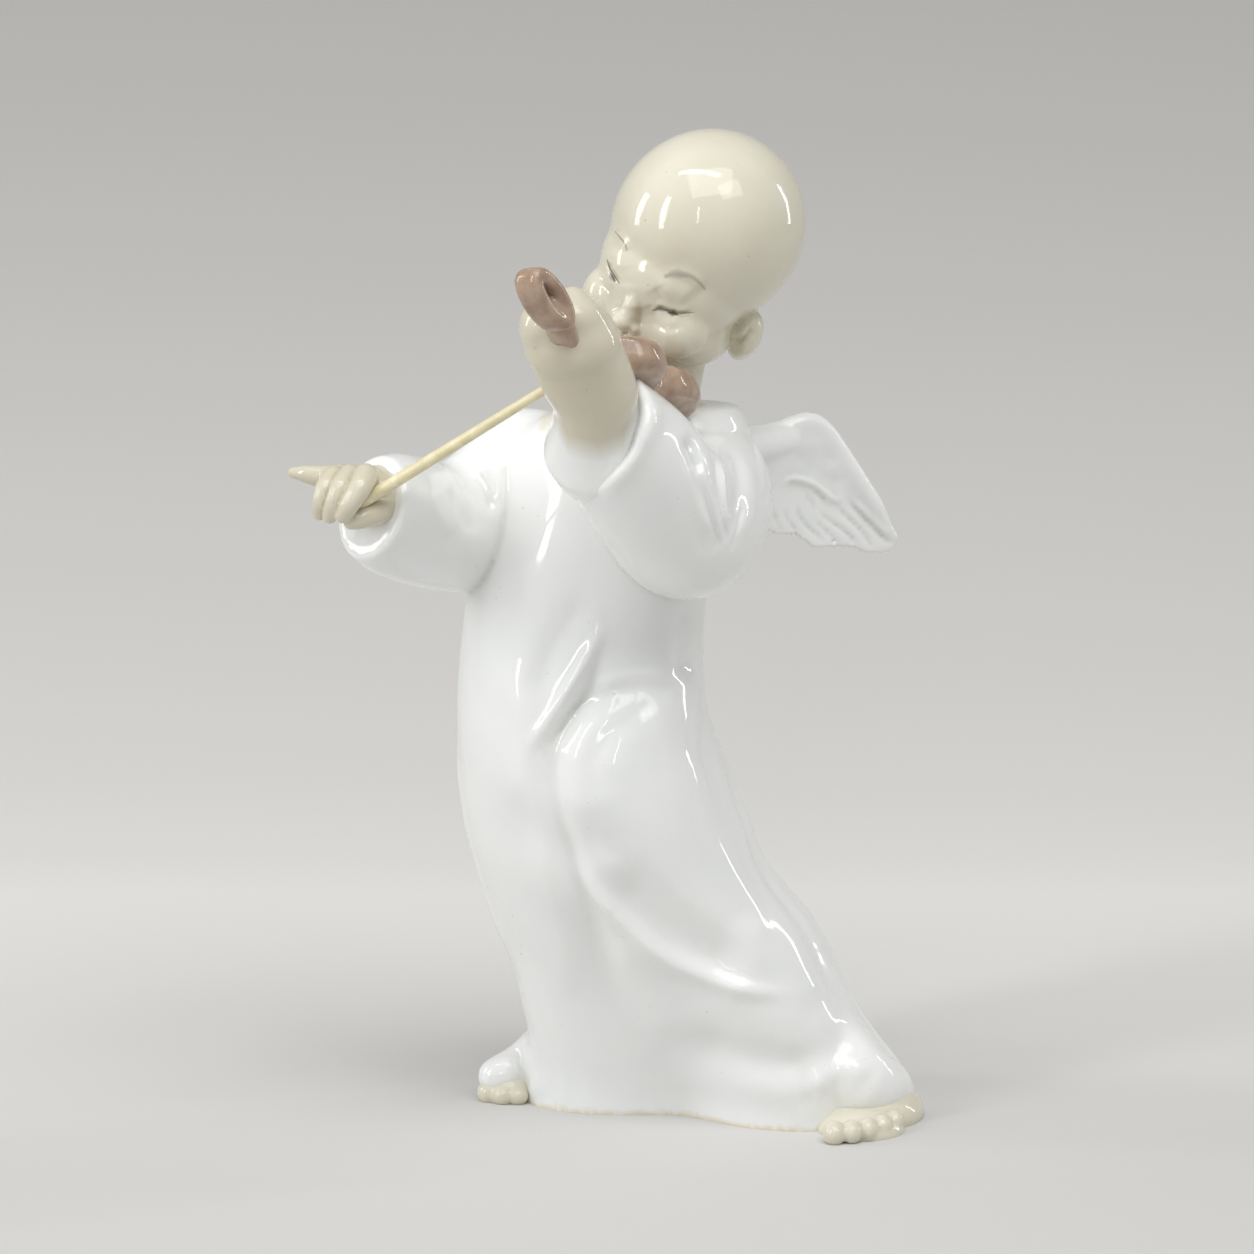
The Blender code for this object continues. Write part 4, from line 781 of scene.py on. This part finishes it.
def feet(voxel):
    pieces = [blob("toe", form[:3], form[3:]) for form in LEFT_FOOT + FOOT_FORMS]
    return fuse("feet", pieces, voxel, FINGER_SOFT)


def wing(name, root, turn, voxel):
    """A wing as a thick edge that thins to its feathers, with the feathers cut into both faces."""
    a = radians(turn)
    out = np.array((cos(a), sin(a), 0.0))
    across = np.array((-sin(a), cos(a), 0.0))
    turns = turns_round(40)
    rings = []
    for share, top, bottom in smooth_rows(WING, 3):
        centre = np.array((*root, ROBE_HEIGHT + (top + bottom) / 2)) + out * share * WING_LENGTH
        half = (top - bottom) / 2
        ring = []
        for t in turns:
            rise = cos(t)
            band = exp(-(((rise - WING_BAND) / WING_BAND_SPREAD) ** 2))
            swell = (WING_THICKNESS / 2 - WING_EDGE) * (1 - WING_THINNING * max(share, 0))
            thick = WING_EDGE + swell * band
            ring.append(centre + np.array((0, 0, half)) * rise + across * thick * sin(t))
        rings.append(ring)

    def plane(points, normals):
        reach = (points - np.array((*root, ROBE_HEIGHT))) @ out
        flat = np.stack((reach, points[:, 2] - ROBE_HEIGHT), axis=1)
        return flat, np.clip((np.abs(normals @ across) - SEEN_FROM) / SEEN_OVER, 0, 1)

    foot = from_collar(*root, -WING_ROOT_DROP[0]) - out * WING_ROOT_TUCK
    end = from_collar(*root, -WING_ROOT_DROP[1]) + out * WING_ROOT_REACH
    shoulder = limb("wing_root", [(*foot, WING_ROOT_RADIUS), (*end, WING_THICKNESS / 2)])
    obj = fuse(name, [skin(name, rings), shoulder], voxel, FINGER_SOFT)
    press(obj, FEATHERS, plane)
    return obj


def left_palm(offset=(0.0, 0.0, 0.0)):
    return Vector(left_cuff(LEFT_PALM)) + Vector(offset)


def violin_axes():
    """The violin's own axes: towards the scroll, to its right edge in the view, and up off its top."""
    way = (left_palm() - Vector(from_collar(*VIOLIN_TAIL))).normalized()
    wide = Vector((cos(radians(VIOLIN_ROLL)), 0.0, sin(radians(VIOLIN_ROLL))))
    wide = (wide - way * wide.dot(way)).normalized()
    return way, wide, wide.cross(way).normalized() * (1 if wide.cross(way).z > 0 else -1)


def on_violin(along, side, up):
    way, wide, top = violin_axes()
    return Vector(from_collar(*VIOLIN_TAIL)) + way * along + wide * side + top * up


def squared(half, share):
    """A rounded-square section's place across, for the cosine or the sine of a turn."""
    return half * copysign(abs(share) ** SQUARENESS, share)


def pegbox_axes():
    way = Vector(PEGBOX_WAY).normalized()
    side = Vector(PEGBOX_SIDE)
    side = (side - way * side.dot(way)).normalized()
    return way, side, side.cross(way)


def pegbox():
    """The pegbox and scroll, simplified to a broad strap that curls round an oblong hole."""
    way, side, over = pegbox_axes()
    long_half = (PEGBOX_LENGTH - PEGBOX_WALL) / 2
    short_half = (PEGBOX_HEIGHT - PEGBOX_WALL) / 2
    rings = []
    for i in range(32):
        t = 2 * pi * i / 32
        centre = left_palm(PEGBOX_PLACE) + way * long_half * cos(t) + over * short_half * sin(t)
        out = (way * cos(t) / long_half + over * sin(t) / short_half).normalized()
        ring = []
        for k in range(16):
            c, s = cos(pi * k / 8), sin(pi * k / 8)
            ring.append(centre + side * squared(PEGBOX_WIDTH / 2, c) + out * squared(PEGBOX_WALL / 2, s))
        rings.append(ring)
    return skin("pegbox", rings, round_trip=True)


def violin(voxel):
    """Body with two bouts and a waist, neck, and a pegbox that curls back as a loop."""
    rows = [(along * BODY_LENGTH, share * half) for half, part in BODY_OUTLINE for along, share in part]
    rings = [
        [on_violin(along, squared(half, cos(t)), squared(RIB_HEIGHT / 2, sin(t))) for t in turns_round(36)]
        for along, half in smooth_rows(rows, 4)
    ]
    neck_end = (left_palm() - Vector(from_collar(*VIOLIN_TAIL))).length + NECK_PAST_PALM
    way, side, over = pegbox_axes()
    heel = left_palm(PEGBOX_HEEL)
    floor = left_palm(PEGBOX_PLACE) - way * PEGBOX_FLOOR
    joints = (on_violin(BODY_LENGTH - NECK_HALF, 0, NECK_RISE), on_violin(neck_end, 0, 0), heel)
    neck = [(*joint, NECK_HALF) for joint in joints]
    pieces = [
        skin("violin_body", rings),
        limb("violin_neck", neck),
        blob("pegbox_heel", heel, PEGBOX_HEEL_SIZE, (side, over, way)),
        pegbox(),
        blob("pegbox_floor", floor, PEGBOX_FLOOR_SIZE, (side, over, way)),
    ]
    return fuse("violin", pieces, voxel, SEAM_SOFT)


def bow_stick(name):
    """The bow, a straight stick that tapers from its butt to its tip."""
    butt, tip = Vector(right_cuff(BOW_BUTT)), Vector(left_cuff(BOW_TIP))
    stations = [
        (*butt, BOW_BUTT_DIAMETER / 2),
        (*((butt + tip) / 2), (BOW_BUTT_DIAMETER + BOW_TIP_DIAMETER) / 4),
        (*tip, BOW_TIP_DIAMETER / 2),
    ]
    return limb(name, stations, sides=16)


def flat_base(obj):
    """Grinds the foot of the figurine flat at height zero."""
    bm = bmesh.new()
    bm.from_mesh(obj.data)
    whole = bm.verts[:] + bm.edges[:] + bm.faces[:]
    cut = bmesh.ops.bisect_plane(bm, geom=whole, plane_co=(0, 0, 0), plane_no=(0, 0, 1), clear_inner=True)
    edges = [e for e in cut["geom_cut"] if isinstance(e, bmesh.types.BMEdge)]
    bmesh.ops.holes_fill(bm, edges=edges)
    bmesh.ops.recalc_face_normals(bm, faces=bm.faces)
    bm.to_mesh(obj.data)
    bm.free()


def crisp_foot(obj):
    """Keeps the rim of the ground foot sharp in shading."""
    mesh = obj.data
    for edge in mesh.edges:
        edge.use_edge_sharp = all(abs(mesh.vertices[v].co.z) < RIM_NEAR * MM for v in edge.vertices)


def to_part_frame(obj):
    """Moves the mesh so that the middle of the foot is the origin, as in the part."""
    obj.data.transform(Matrix.Translation(-Vector(FOOT_CENTRE) * MM))


def linear(r, g, b):
    """An sRGB colour of 0 to 255 as linear values."""
    values = (((v / 255 + 0.055) / 1.055) ** 2.4 if v > 10 else v / 255 / 12.92 for v in (r, g, b))
    return (*values, 1.0)


def grey(value):
    """One value in all three channels."""
    return (value, value, value, 1.0)


def node(tree, kind, **values):
    made = tree.nodes.new(kind)
    for key, value in values.items():
        setattr(made, key, value)
    return made


def set_inputs(made, values):
    for key, value in values.items():
        made.inputs[key].default_value = value


def noise(tree, scale, detail, roughness=0.5):
    made = node(tree, "ShaderNodeTexNoise")
    set_inputs(made, {"Scale": scale, "Detail": detail, "Roughness": roughness})
    place = node(tree, "ShaderNodeTexCoord")
    tree.links.new(place.outputs["Object"], made.inputs["Vector"])
    return made


def ramp(tree, source, stops):
    made = node(tree, "ShaderNodeValToRGB")
    for k, (place, colour) in enumerate(stops):
        stop = made.color_ramp.elements[k] if k < 2 else made.color_ramp.elements.new(place)
        stop.position = place
        stop.color = colour
    tree.links.new(source, made.inputs["Fac"])
    return made


def attribute(tree, name):
    return node(tree, "ShaderNodeAttribute", attribute_name=name).outputs["Fac"]


def blended(tree, mode, amount, first, second):
    """Two colours mixed; each is a socket or a fixed colour, and the amount is a socket or a number."""
    made = node(tree, "ShaderNodeMix", data_type="RGBA", blend_type=mode)
    for key, value in (("Factor", amount), ("A", first), ("B", second)):
        socket = [i for i in made.inputs if i.name == key and i.enabled][0]
        if isinstance(value, bpy.types.NodeSocket):
            tree.links.new(value, socket)
        else:
            socket.default_value = value
    return [o for o in made.outputs if o.enabled][0]


def principled(name):
    """A new material with its node tree and its shader."""
    material = bpy.data.materials.new(name)
    material.use_nodes = True
    return material, material.node_tree, material.node_tree.nodes["Principled BSDF"]


def uneven(tree, shader, height, strength, distance):
    """Lets a height turn the light on the shader's surface."""
    bump = node(tree, "ShaderNodeBump")
    set_inputs(bump, {"Strength": strength, "Distance": distance})
    tree.links.new(height, bump.inputs["Height"])
    tree.links.new(bump.outputs["Normal"], shader.inputs["Normal"])


def porcelain(name, lit, mottled, pooled_and_shaded, wave=0.02, cloud_scale=45.0, paint=None, bare=None, fade=None):
    """A gloss glaze with mottle and specks, with painted shade in hollows, partly as pooled glaze; the last
    three lie over it where marked.
    """
    material, tree, shader = principled(name)
    set_inputs(shader, {"IOR": 1.5, "Subsurface Weight": 0.15, "Subsurface Scale": 0.0012})
    set_inputs(shader, {"Subsurface Radius": (1.0, 0.9, 0.8)})
    cloud = noise(tree, cloud_scale, 4.0)
    tones = ((0.32, linear(*mottled)), (0.62, linear(*lit)))
    colour = ramp(tree, cloud.outputs["Fac"], tones).outputs["Color"]
    speck = noise(tree, 900.0, 1.0)
    dots = ramp(tree, speck.outputs["Fac"], ((0.77, grey(1.0)), (0.83, SPECK))).outputs["Color"]
    colour = blended(tree, "MULTIPLY", 1.0, colour, dots)
    # The hollow mask lays painted shade into hollows and creases, partly as pooled glaze
    for mask, tone in (("hollow", pooled_and_shaded), ("fade", fade), ("paint", paint), ("bare", bare)):
        if tone:
            colour = blended(tree, "MIX", attribute(tree, mask), colour, linear(*tone))
    tree.links.new(colour, shader.inputs["Base Color"])
    slow = noise(tree, 160.0, 2.0)
    gloss = ramp(tree, slow.outputs["Fac"], ((0.3, grey(GLOSS[0])), (0.75, grey(GLOSS[1])))).outputs["Color"]
    if bare:
        gloss = blended(tree, "MIX", attribute(tree, "bare"), gloss, grey(BARE_ROUGHNESS))
    tree.links.new(gloss, shader.inputs["Roughness"])
    uneven(tree, shader, slow.outputs["Fac"], wave, 0.0004)
    return material


def mesh_arrays(mesh):
    """The points in millimetres, the outward directions and the edges of a mesh."""
    found = []
    for rows, key, width, kind in (
        (mesh.vertices, "co", 3, float), (mesh.vertices, "normal", 3, float), (mesh.edges, "vertices", 2, int)
    ):
        values = np.empty(len(rows) * width, kind)
        rows.foreach_get(key, values)
        found.append(values.reshape(-1, width))
    return found[0] / MM, found[1], found[2]


def keep_values(mesh, name, values):
    """Keeps a value from 0 to 1 at each point, for a glaze to read by that name."""
    kept = mesh.attributes.new(name, "FLOAT", "POINT")
    kept.data.foreach_set("value", np.clip(values, 0, 1).astype(np.float32))


def spread(values, edges, rounds):
    """Values evened out between neighbouring points."""
    one, two = edges.T
    count = np.bincount(edges.ravel(), minlength=len(values)).clip(1)
    for _ in range(rounds):
        total = np.bincount(one, values[two], len(values))
        total += np.bincount(two, values[one], len(values))
        values = (values + total / count) / 2
    return values


def mark_hollow_shade(obj, reach, gain):
    """Marks where the surface is hollow over that reach, for painted shade there, partly as glaze pools
    deeper.
    """
    points, normals, edges = mesh_arrays(obj.data)
    one, two = edges.T
    step = points[two] - points[one]
    length = np.linalg.norm(step, axis=1).clip(1e-4)
    bend = np.concatenate(((normals[one] * step).sum(1), -(normals[two] * step).sum(1)))
    bend /= np.concatenate((length, length)) ** 2
    both = edges.T.ravel()
    hollow = np.bincount(both, bend, len(points)) / np.bincount(both, minlength=len(points)).clip(1)
    rounds = int(2 * (reach / length.mean()) ** 2)
    hollow = spread(hollow.clip(-SHARPEST_BEND, SHARPEST_BEND), edges, rounds)
    # These values mark painted shade in hollows, partly pooled glaze
    keep_values(obj.data, "hollow", hollow * gain)
    return obj


def stroke_values(mesh, strokes):
    """How strongly brush strokes on the front view cover each point, and its distance from the nearest."""
    points, normals, _ = mesh_arrays(mesh)
    flat, seen = front()(points, normals)
    value = np.zeros(len(points))
    nearest = np.full(len(points), np.inf)
    for path, half_width, strength in strokes:
        line = smooth_rows(np.array(path) + np.array((0.0, ROBE_HEIGHT)), 6)
        close, gap, along = seen_near(line, BRUSH_MARGIN, flat, seen)
        wide = half_width * (BRUSH_END + (1 - BRUSH_END) * np.sin(np.pi * along.clip(0.08, 0.92)))
        value[close] = np.maximum(value[close], strength * np.clip(BRUSH_FADE - gap / wide, 0, 1))
        nearest[close] = np.minimum(nearest[close], gap)
    return value, nearest


def finer_near(mesh, strokes):
    """Smaller faces just where fine strokes run."""
    nearest = stroke_values(mesh, strokes)[1]
    bm = bmesh.new()
    bm.from_mesh(mesh)
    bm.verts.ensure_lookup_table()
    chosen = [e for e in bm.edges if all(nearest[v.index] < BRUSH_REACH for v in e.verts)]
    bmesh.ops.subdivide_edges(bm, edges=chosen, cuts=BRUSH_CUTS, use_grid_fill=True)
    bm.to_mesh(mesh)
    bm.free()


def painted(obj, strokes):
    """Fine brush lines on the glaze."""
    finer_near(obj.data, strokes)
    keep_values(obj.data, "paint", stroke_values(obj.data, strokes)[0])


def incised(obj, strokes):
    """Fine creases pressed into the surface."""
    finer_near(obj.data, strokes)
    press_from_collar(obj, strokes)


def fade_to_white(obj):
    """The arm's ivory glaze gives way to white inside the cuff, below a line drawn on the front view."""
    points, normals, _ = mesh_arrays(obj.data)
    flat = front()(points, normals)[0]
    line = np.array(IVORY_EDGE)
    edge = np.interp(flat[:, 0], line[:, 0], line[:, 1]) + ROBE_HEIGHT
    keep_values(obj.data, "fade", 0.5 - (flat[:, 1] - edge) / IVORY_FADE)


def stick_wood(name):
    """A pale varnished wood with a fine grain."""
    material, tree, shader = principled(name)
    set_inputs(shader, {"Roughness": 0.4, "Coat Weight": 0.25})
    grain = noise(tree, 260.0, 6.0, 0.65)
    grain.inputs["Distortion"].default_value = 0.6
    tint = ramp(tree, grain.outputs["Fac"], ((0.3, linear(216, 204, 160)), (0.7, linear(240, 232, 200))))
    tree.links.new(tint.outputs["Color"], shader.inputs["Base Color"])
    uneven(tree, shader, grain.outputs["Fac"], 0.1, 0.0002)
    return material


def dress(obj, name, material, cad_node):
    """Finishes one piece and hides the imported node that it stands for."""
    obj.name = name
    obj.data.name = name
    flat_base(obj)
    obj.data.shade_smooth()
    crisp_foot(obj)
    to_part_frame(obj)
    obj.data.materials.clear()
    obj.data.materials.append(material)
    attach(obj, "root")
    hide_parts(cad_node)


def thinned(obj, triangles):
    """The object with fewer faces where it is flattest."""
    count = sum(len(f.vertices) - 2 for f in obj.data.polygons)
    if count > triangles:
        fewer = obj.modifiers.new("fewer", "DECIMATE")
        fewer.ratio = triangles / count
        settled(obj)
    return obj


def backdrop():
    """A pale table top that sweeps up behind the figure, with painted light and shade along it."""
    profile = [(TABLE_FRONT, 0.0), (SWEEP_START, 0.0)]
    for k in range(1, 13):
        lean = radians(7.5 * k)
        profile.append((SWEEP_START + SWEEP_RADIUS * sin(lean), SWEEP_RADIUS * (1 - cos(lean))))
    profile.append((SWEEP_START + SWEEP_RADIUS, WALL_TOP))
    bm = bmesh.new()
    rows = [[bm.verts.new((x, y, z)) for x in (-TABLE_HALF_WIDTH, TABLE_HALF_WIDTH)] for y, z in profile]
    for low, high in zip(rows, rows[1:]):
        bm.faces.new((low[0], low[1], high[1], high[0]))
    floor = mesh_object("backdrop", bm)
    floor.data.shade_smooth()
    material, tree, shader = principled("paper_sweep")
    set_inputs(shader, {"Roughness": 0.9, "Specular IOR Level": 0.1})
    place = node(tree, "ShaderNodeTexCoord")
    split = node(tree, "ShaderNodeSeparateXYZ")
    tree.links.new(place.outputs["Object"], split.inputs["Vector"])
    reach = node(tree, "ShaderNodeMapRange")
    set_inputs(reach, {"From Min": -0.3, "From Max": 0.9})
    tree.links.new(split.outputs["Y"], reach.inputs["Value"])
    # Painted light and shade: the paper is brightest just behind the figure and darker up the wall
    tint = ramp(tree, reach.outputs["Result"], PAPER_LIGHT_AND_SHADE)
    tree.links.new(tint.outputs["Color"], shader.inputs["Base Color"])
    floor.data.materials.append(material)


def lamp(name, place, width, height, watts):
    """A soft box that lights the figure."""
    light = bpy.data.lights.new(name, "AREA")
    light.shape = "RECTANGLE"
    light.size = width
    light.size_y = height
    light.energy = watts
    obj = add_object(name, light)
    obj.location = place
    obj.rotation_euler = (Vector(LAMP_AIM) - Vector(place)).to_track_quat("-Z", "Y").to_euler()


def studio():
    """An even sky, and the lamps."""
    world = bpy.data.worlds.new("studio")
    bpy.context.scene.world = world
    world.use_nodes = True
    sky = world.node_tree.nodes["Background"]
    set_inputs(sky, {"Color": (1.0, 1.0, 0.985, 1.0), "Strength": SKY_STRENGTH})
    for name, values in LAMPS.items():
        lamp(name, *values)


def camera():
    """The eye that the drawings are made for, with the photograph's width of view."""
    lens = bpy.data.cameras.new("photo_camera")
    lens.sensor_width = SENSOR_WIDTH
    lens.sensor_fit = "HORIZONTAL"
    lens.lens = SENSOR_WIDTH * EYE_DISTANCE / (PHOTO_PIXEL * PHOTO_SIZE)
    lens.clip_start = 0.01
    obj = add_object("photo_camera", lens)
    lean = radians(EYE_ELEVATION)
    back = Vector((0.0, -cos(lean), sin(lean)))
    target = (Vector(EYE_TARGET) - Vector(FOOT_CENTRE)) * MM
    obj.location = target + back * EYE_DISTANCE * MM
    obj.rotation_euler = (-back).to_track_quat("-Z", "Y").to_euler()
    bpy.context.scene.camera = obj


# Brush lines on the face: a path from the collar's height, a half width and a strength
PAINT = (
    (((-7.2, 26.2), (-5.6, 26.9), (-3.6, 26.8), (-1.7, 26.1), (-0.1, 24.9), (1, 23.6)), 0.62, 0.36),
    (((-7, 26.2), (-5.5, 26.7), (-4.2, 26.7), (-2.6, 26.3)), 1, 0.42),
    (((-9.8, 19.1), (-8.2, 19.5), (-6.6, 19.1), (-5.2, 18.6)), 0.34, 0.8),
    (((-9.4, 19.2), (-8.3, 19.5), (-7, 19.2)), 0.55, 0.7),
    (((-6.4, 18.75), (-5.6, 18.6), (-4.8, 18.4)), 0.85, 0.9),
    (((-5.2, 18.6), (-3, 18.6), (-1.2, 18.7)), 0.26, 0.5),
    (((-17.6, 35.5), (-16.5, 34.2), (-15.6, 33), (-15.1, 31.5)), 0.22, 0.6),
    (((-19.2, 29.6), (-18.7, 28), (-17.9, 26.6), (-16.7, 24.8)), 0.28, 0.8),
    (((-18.5, 26.7), (-18.1, 26), (-17.7, 25.3)), 0.65, 0.85),
    (((-4.9, 18.1), (-3.6, 17.9), (-2, 18.1)), 0.2, 0.4),
)

# Painted light and shade on the table top and the sweep behind it, from in front of the figure to the far
# wall: brightest just behind the figure, darkest on the wall
PAPER_LIGHT_AND_SHADE = (
    (0.0, linear(203, 202, 200)),
    (0.2, linear(206, 205, 203)),
    (0.42, linear(231, 230, 228)),
    (0.7, linear(208, 207, 205)),
    (1.0, linear(161, 160, 158)),
)

# The height of the unglazed rim of the foot, and how far the glaze takes to cover
UNGLAZED_RIM = 0.4
RIM_FADE = 0.5

# Where the skin of the neck shows in the open neckline
NECKLINE = ((((-32.6, -5.2), (-31.5, -3.6), (-29.8, -2.2)), 1.9, 0.6),)

# Fine creases of the left sleeve
SLEEVE_LINES = (
    (((-1.8, -7.5), (-0.4, -14), (1.4, -21), (4.6, -31)), 0.42, -0.34),
    (((-0.6, -8.5), (0.9, -14.5), (2.8, -21.5), (5, -30)), 0.42, 0.3),
    (((2.1, -8.5), (3.6, -14), (4.5, -21), (5.6, -29.5)), 0.4, -0.38),
    (((3.4, -9.5), (4.7, -14.5), (5.3, -21), (6.1, -28.5)), 0.42, 0.3),
    (((9, -20.5), (8, -26), (6.3, -31.5)), 0.5, -0.36),
)

# Where the arm's ivory ends in the cuff, from the collar's height, and how far it fades
IVORY_EDGE = (
    (-31, -2), (-29.6, -4.6), (-27.3, -9), (-20.9, -10.4), (-15.9, -8.6), (-12.6, -0.1), (-11.9, 8),
)
IVORY_FADE = 4.6

# Each glaze from 0 to 255: lit, mottled, and pooled with painted shade in hollows, then what lies over it
WHITE_LIT = (241, 242, 241)
WHITE = porcelain(
    "white_glaze", WHITE_LIT, (237, 239, 238), (198, 202, 194), paint=(226, 217, 192), bare=(222, 212, 190)
)
SKIN = porcelain(
    "skin_glaze", (221, 217, 200), (214, 209, 190), (186, 173, 138), paint=(82, 80, 74), fade=WHITE_LIT
)
# Painted shade: a darker copy of the skin glaze for the left arm and the right hand, which stand in shade
SHADED_SKIN = porcelain("shaded_skin_glaze", (212, 206, 187), (205, 198, 177), (172, 158, 122), fade=WHITE_LIT)
BROWN = porcelain(
    "brown_glaze", (178, 154, 134), (154, 130, 110), (102, 82, 66), wave=0.08, cloud_scale=330.0
)
WOOD = stick_wood("bow_wood")


def robe_and_wings():
    wings = [
        wing("left_wing", LEFT_WING_ROOT, LEFT_WING_TURN, WING_VOXEL),
        wing("right_wing", RIGHT_WING_ROOT, RIGHT_WING_TURN, WING_VOXEL),
    ]
    white = fuse("white", [robe(ROBE_VOXEL), *wings], WHITE_VOXEL, WING_SOFT)
    obj = mark_hollow_shade(thinned(white, WHITE_TRIANGLES), *ROBE_HOLLOW_SHADE)
    incised(obj, SLEEVE_LINES)
    painted(obj, NECKLINE)
    points = mesh_arrays(obj.data)[0]
    keep_values(obj.data, "bare", (UNGLAZED_RIM + RIM_FADE - points[:, 2]) / RIM_FADE)
    return obj


def painted_head():
    face = head(HEAD_VOXEL)
    painted(face, PAINT)
    return mark_hollow_shade(face, *SKIN_HOLLOW_SHADE)


def faded_arm():
    arm = mark_hollow_shade(left_arm(ARM_VOXEL), *SKIN_HOLLOW_SHADE)
    fade_to_white(arm)
    return arm


dress(robe_and_wings(), "robe_and_wings", WHITE, "angel_figurine")
dress(painted_head(), "head", SKIN, "angel_figurine")
dress(faded_arm(), "left_arm", SHADED_SKIN, "angel_figurine")
for make, voxel, hollows, name, glaze, slot in (
    (right_hand, HAND_VOXEL, HAND_HOLLOW_SHADE, "right_hand", SHADED_SKIN, "skin_glaze"),
    (feet, FEET_VOXEL, SKIN_HOLLOW_SHADE, "feet", SKIN, "skin_glaze"),
    (violin, VIOLIN_VOXEL, SKIN_HOLLOW_SHADE, "violin", BROWN, "violin_glaze"),
):
    dress(mark_hollow_shade(make(voxel), *hollows), name, glaze, "angel_figurine")
dress(bow_stick("bow"), "bow", WOOD, "violin_bow")

backdrop()
studio()
camera()
bpy.context.scene.view_settings.view_transform = "Standard"
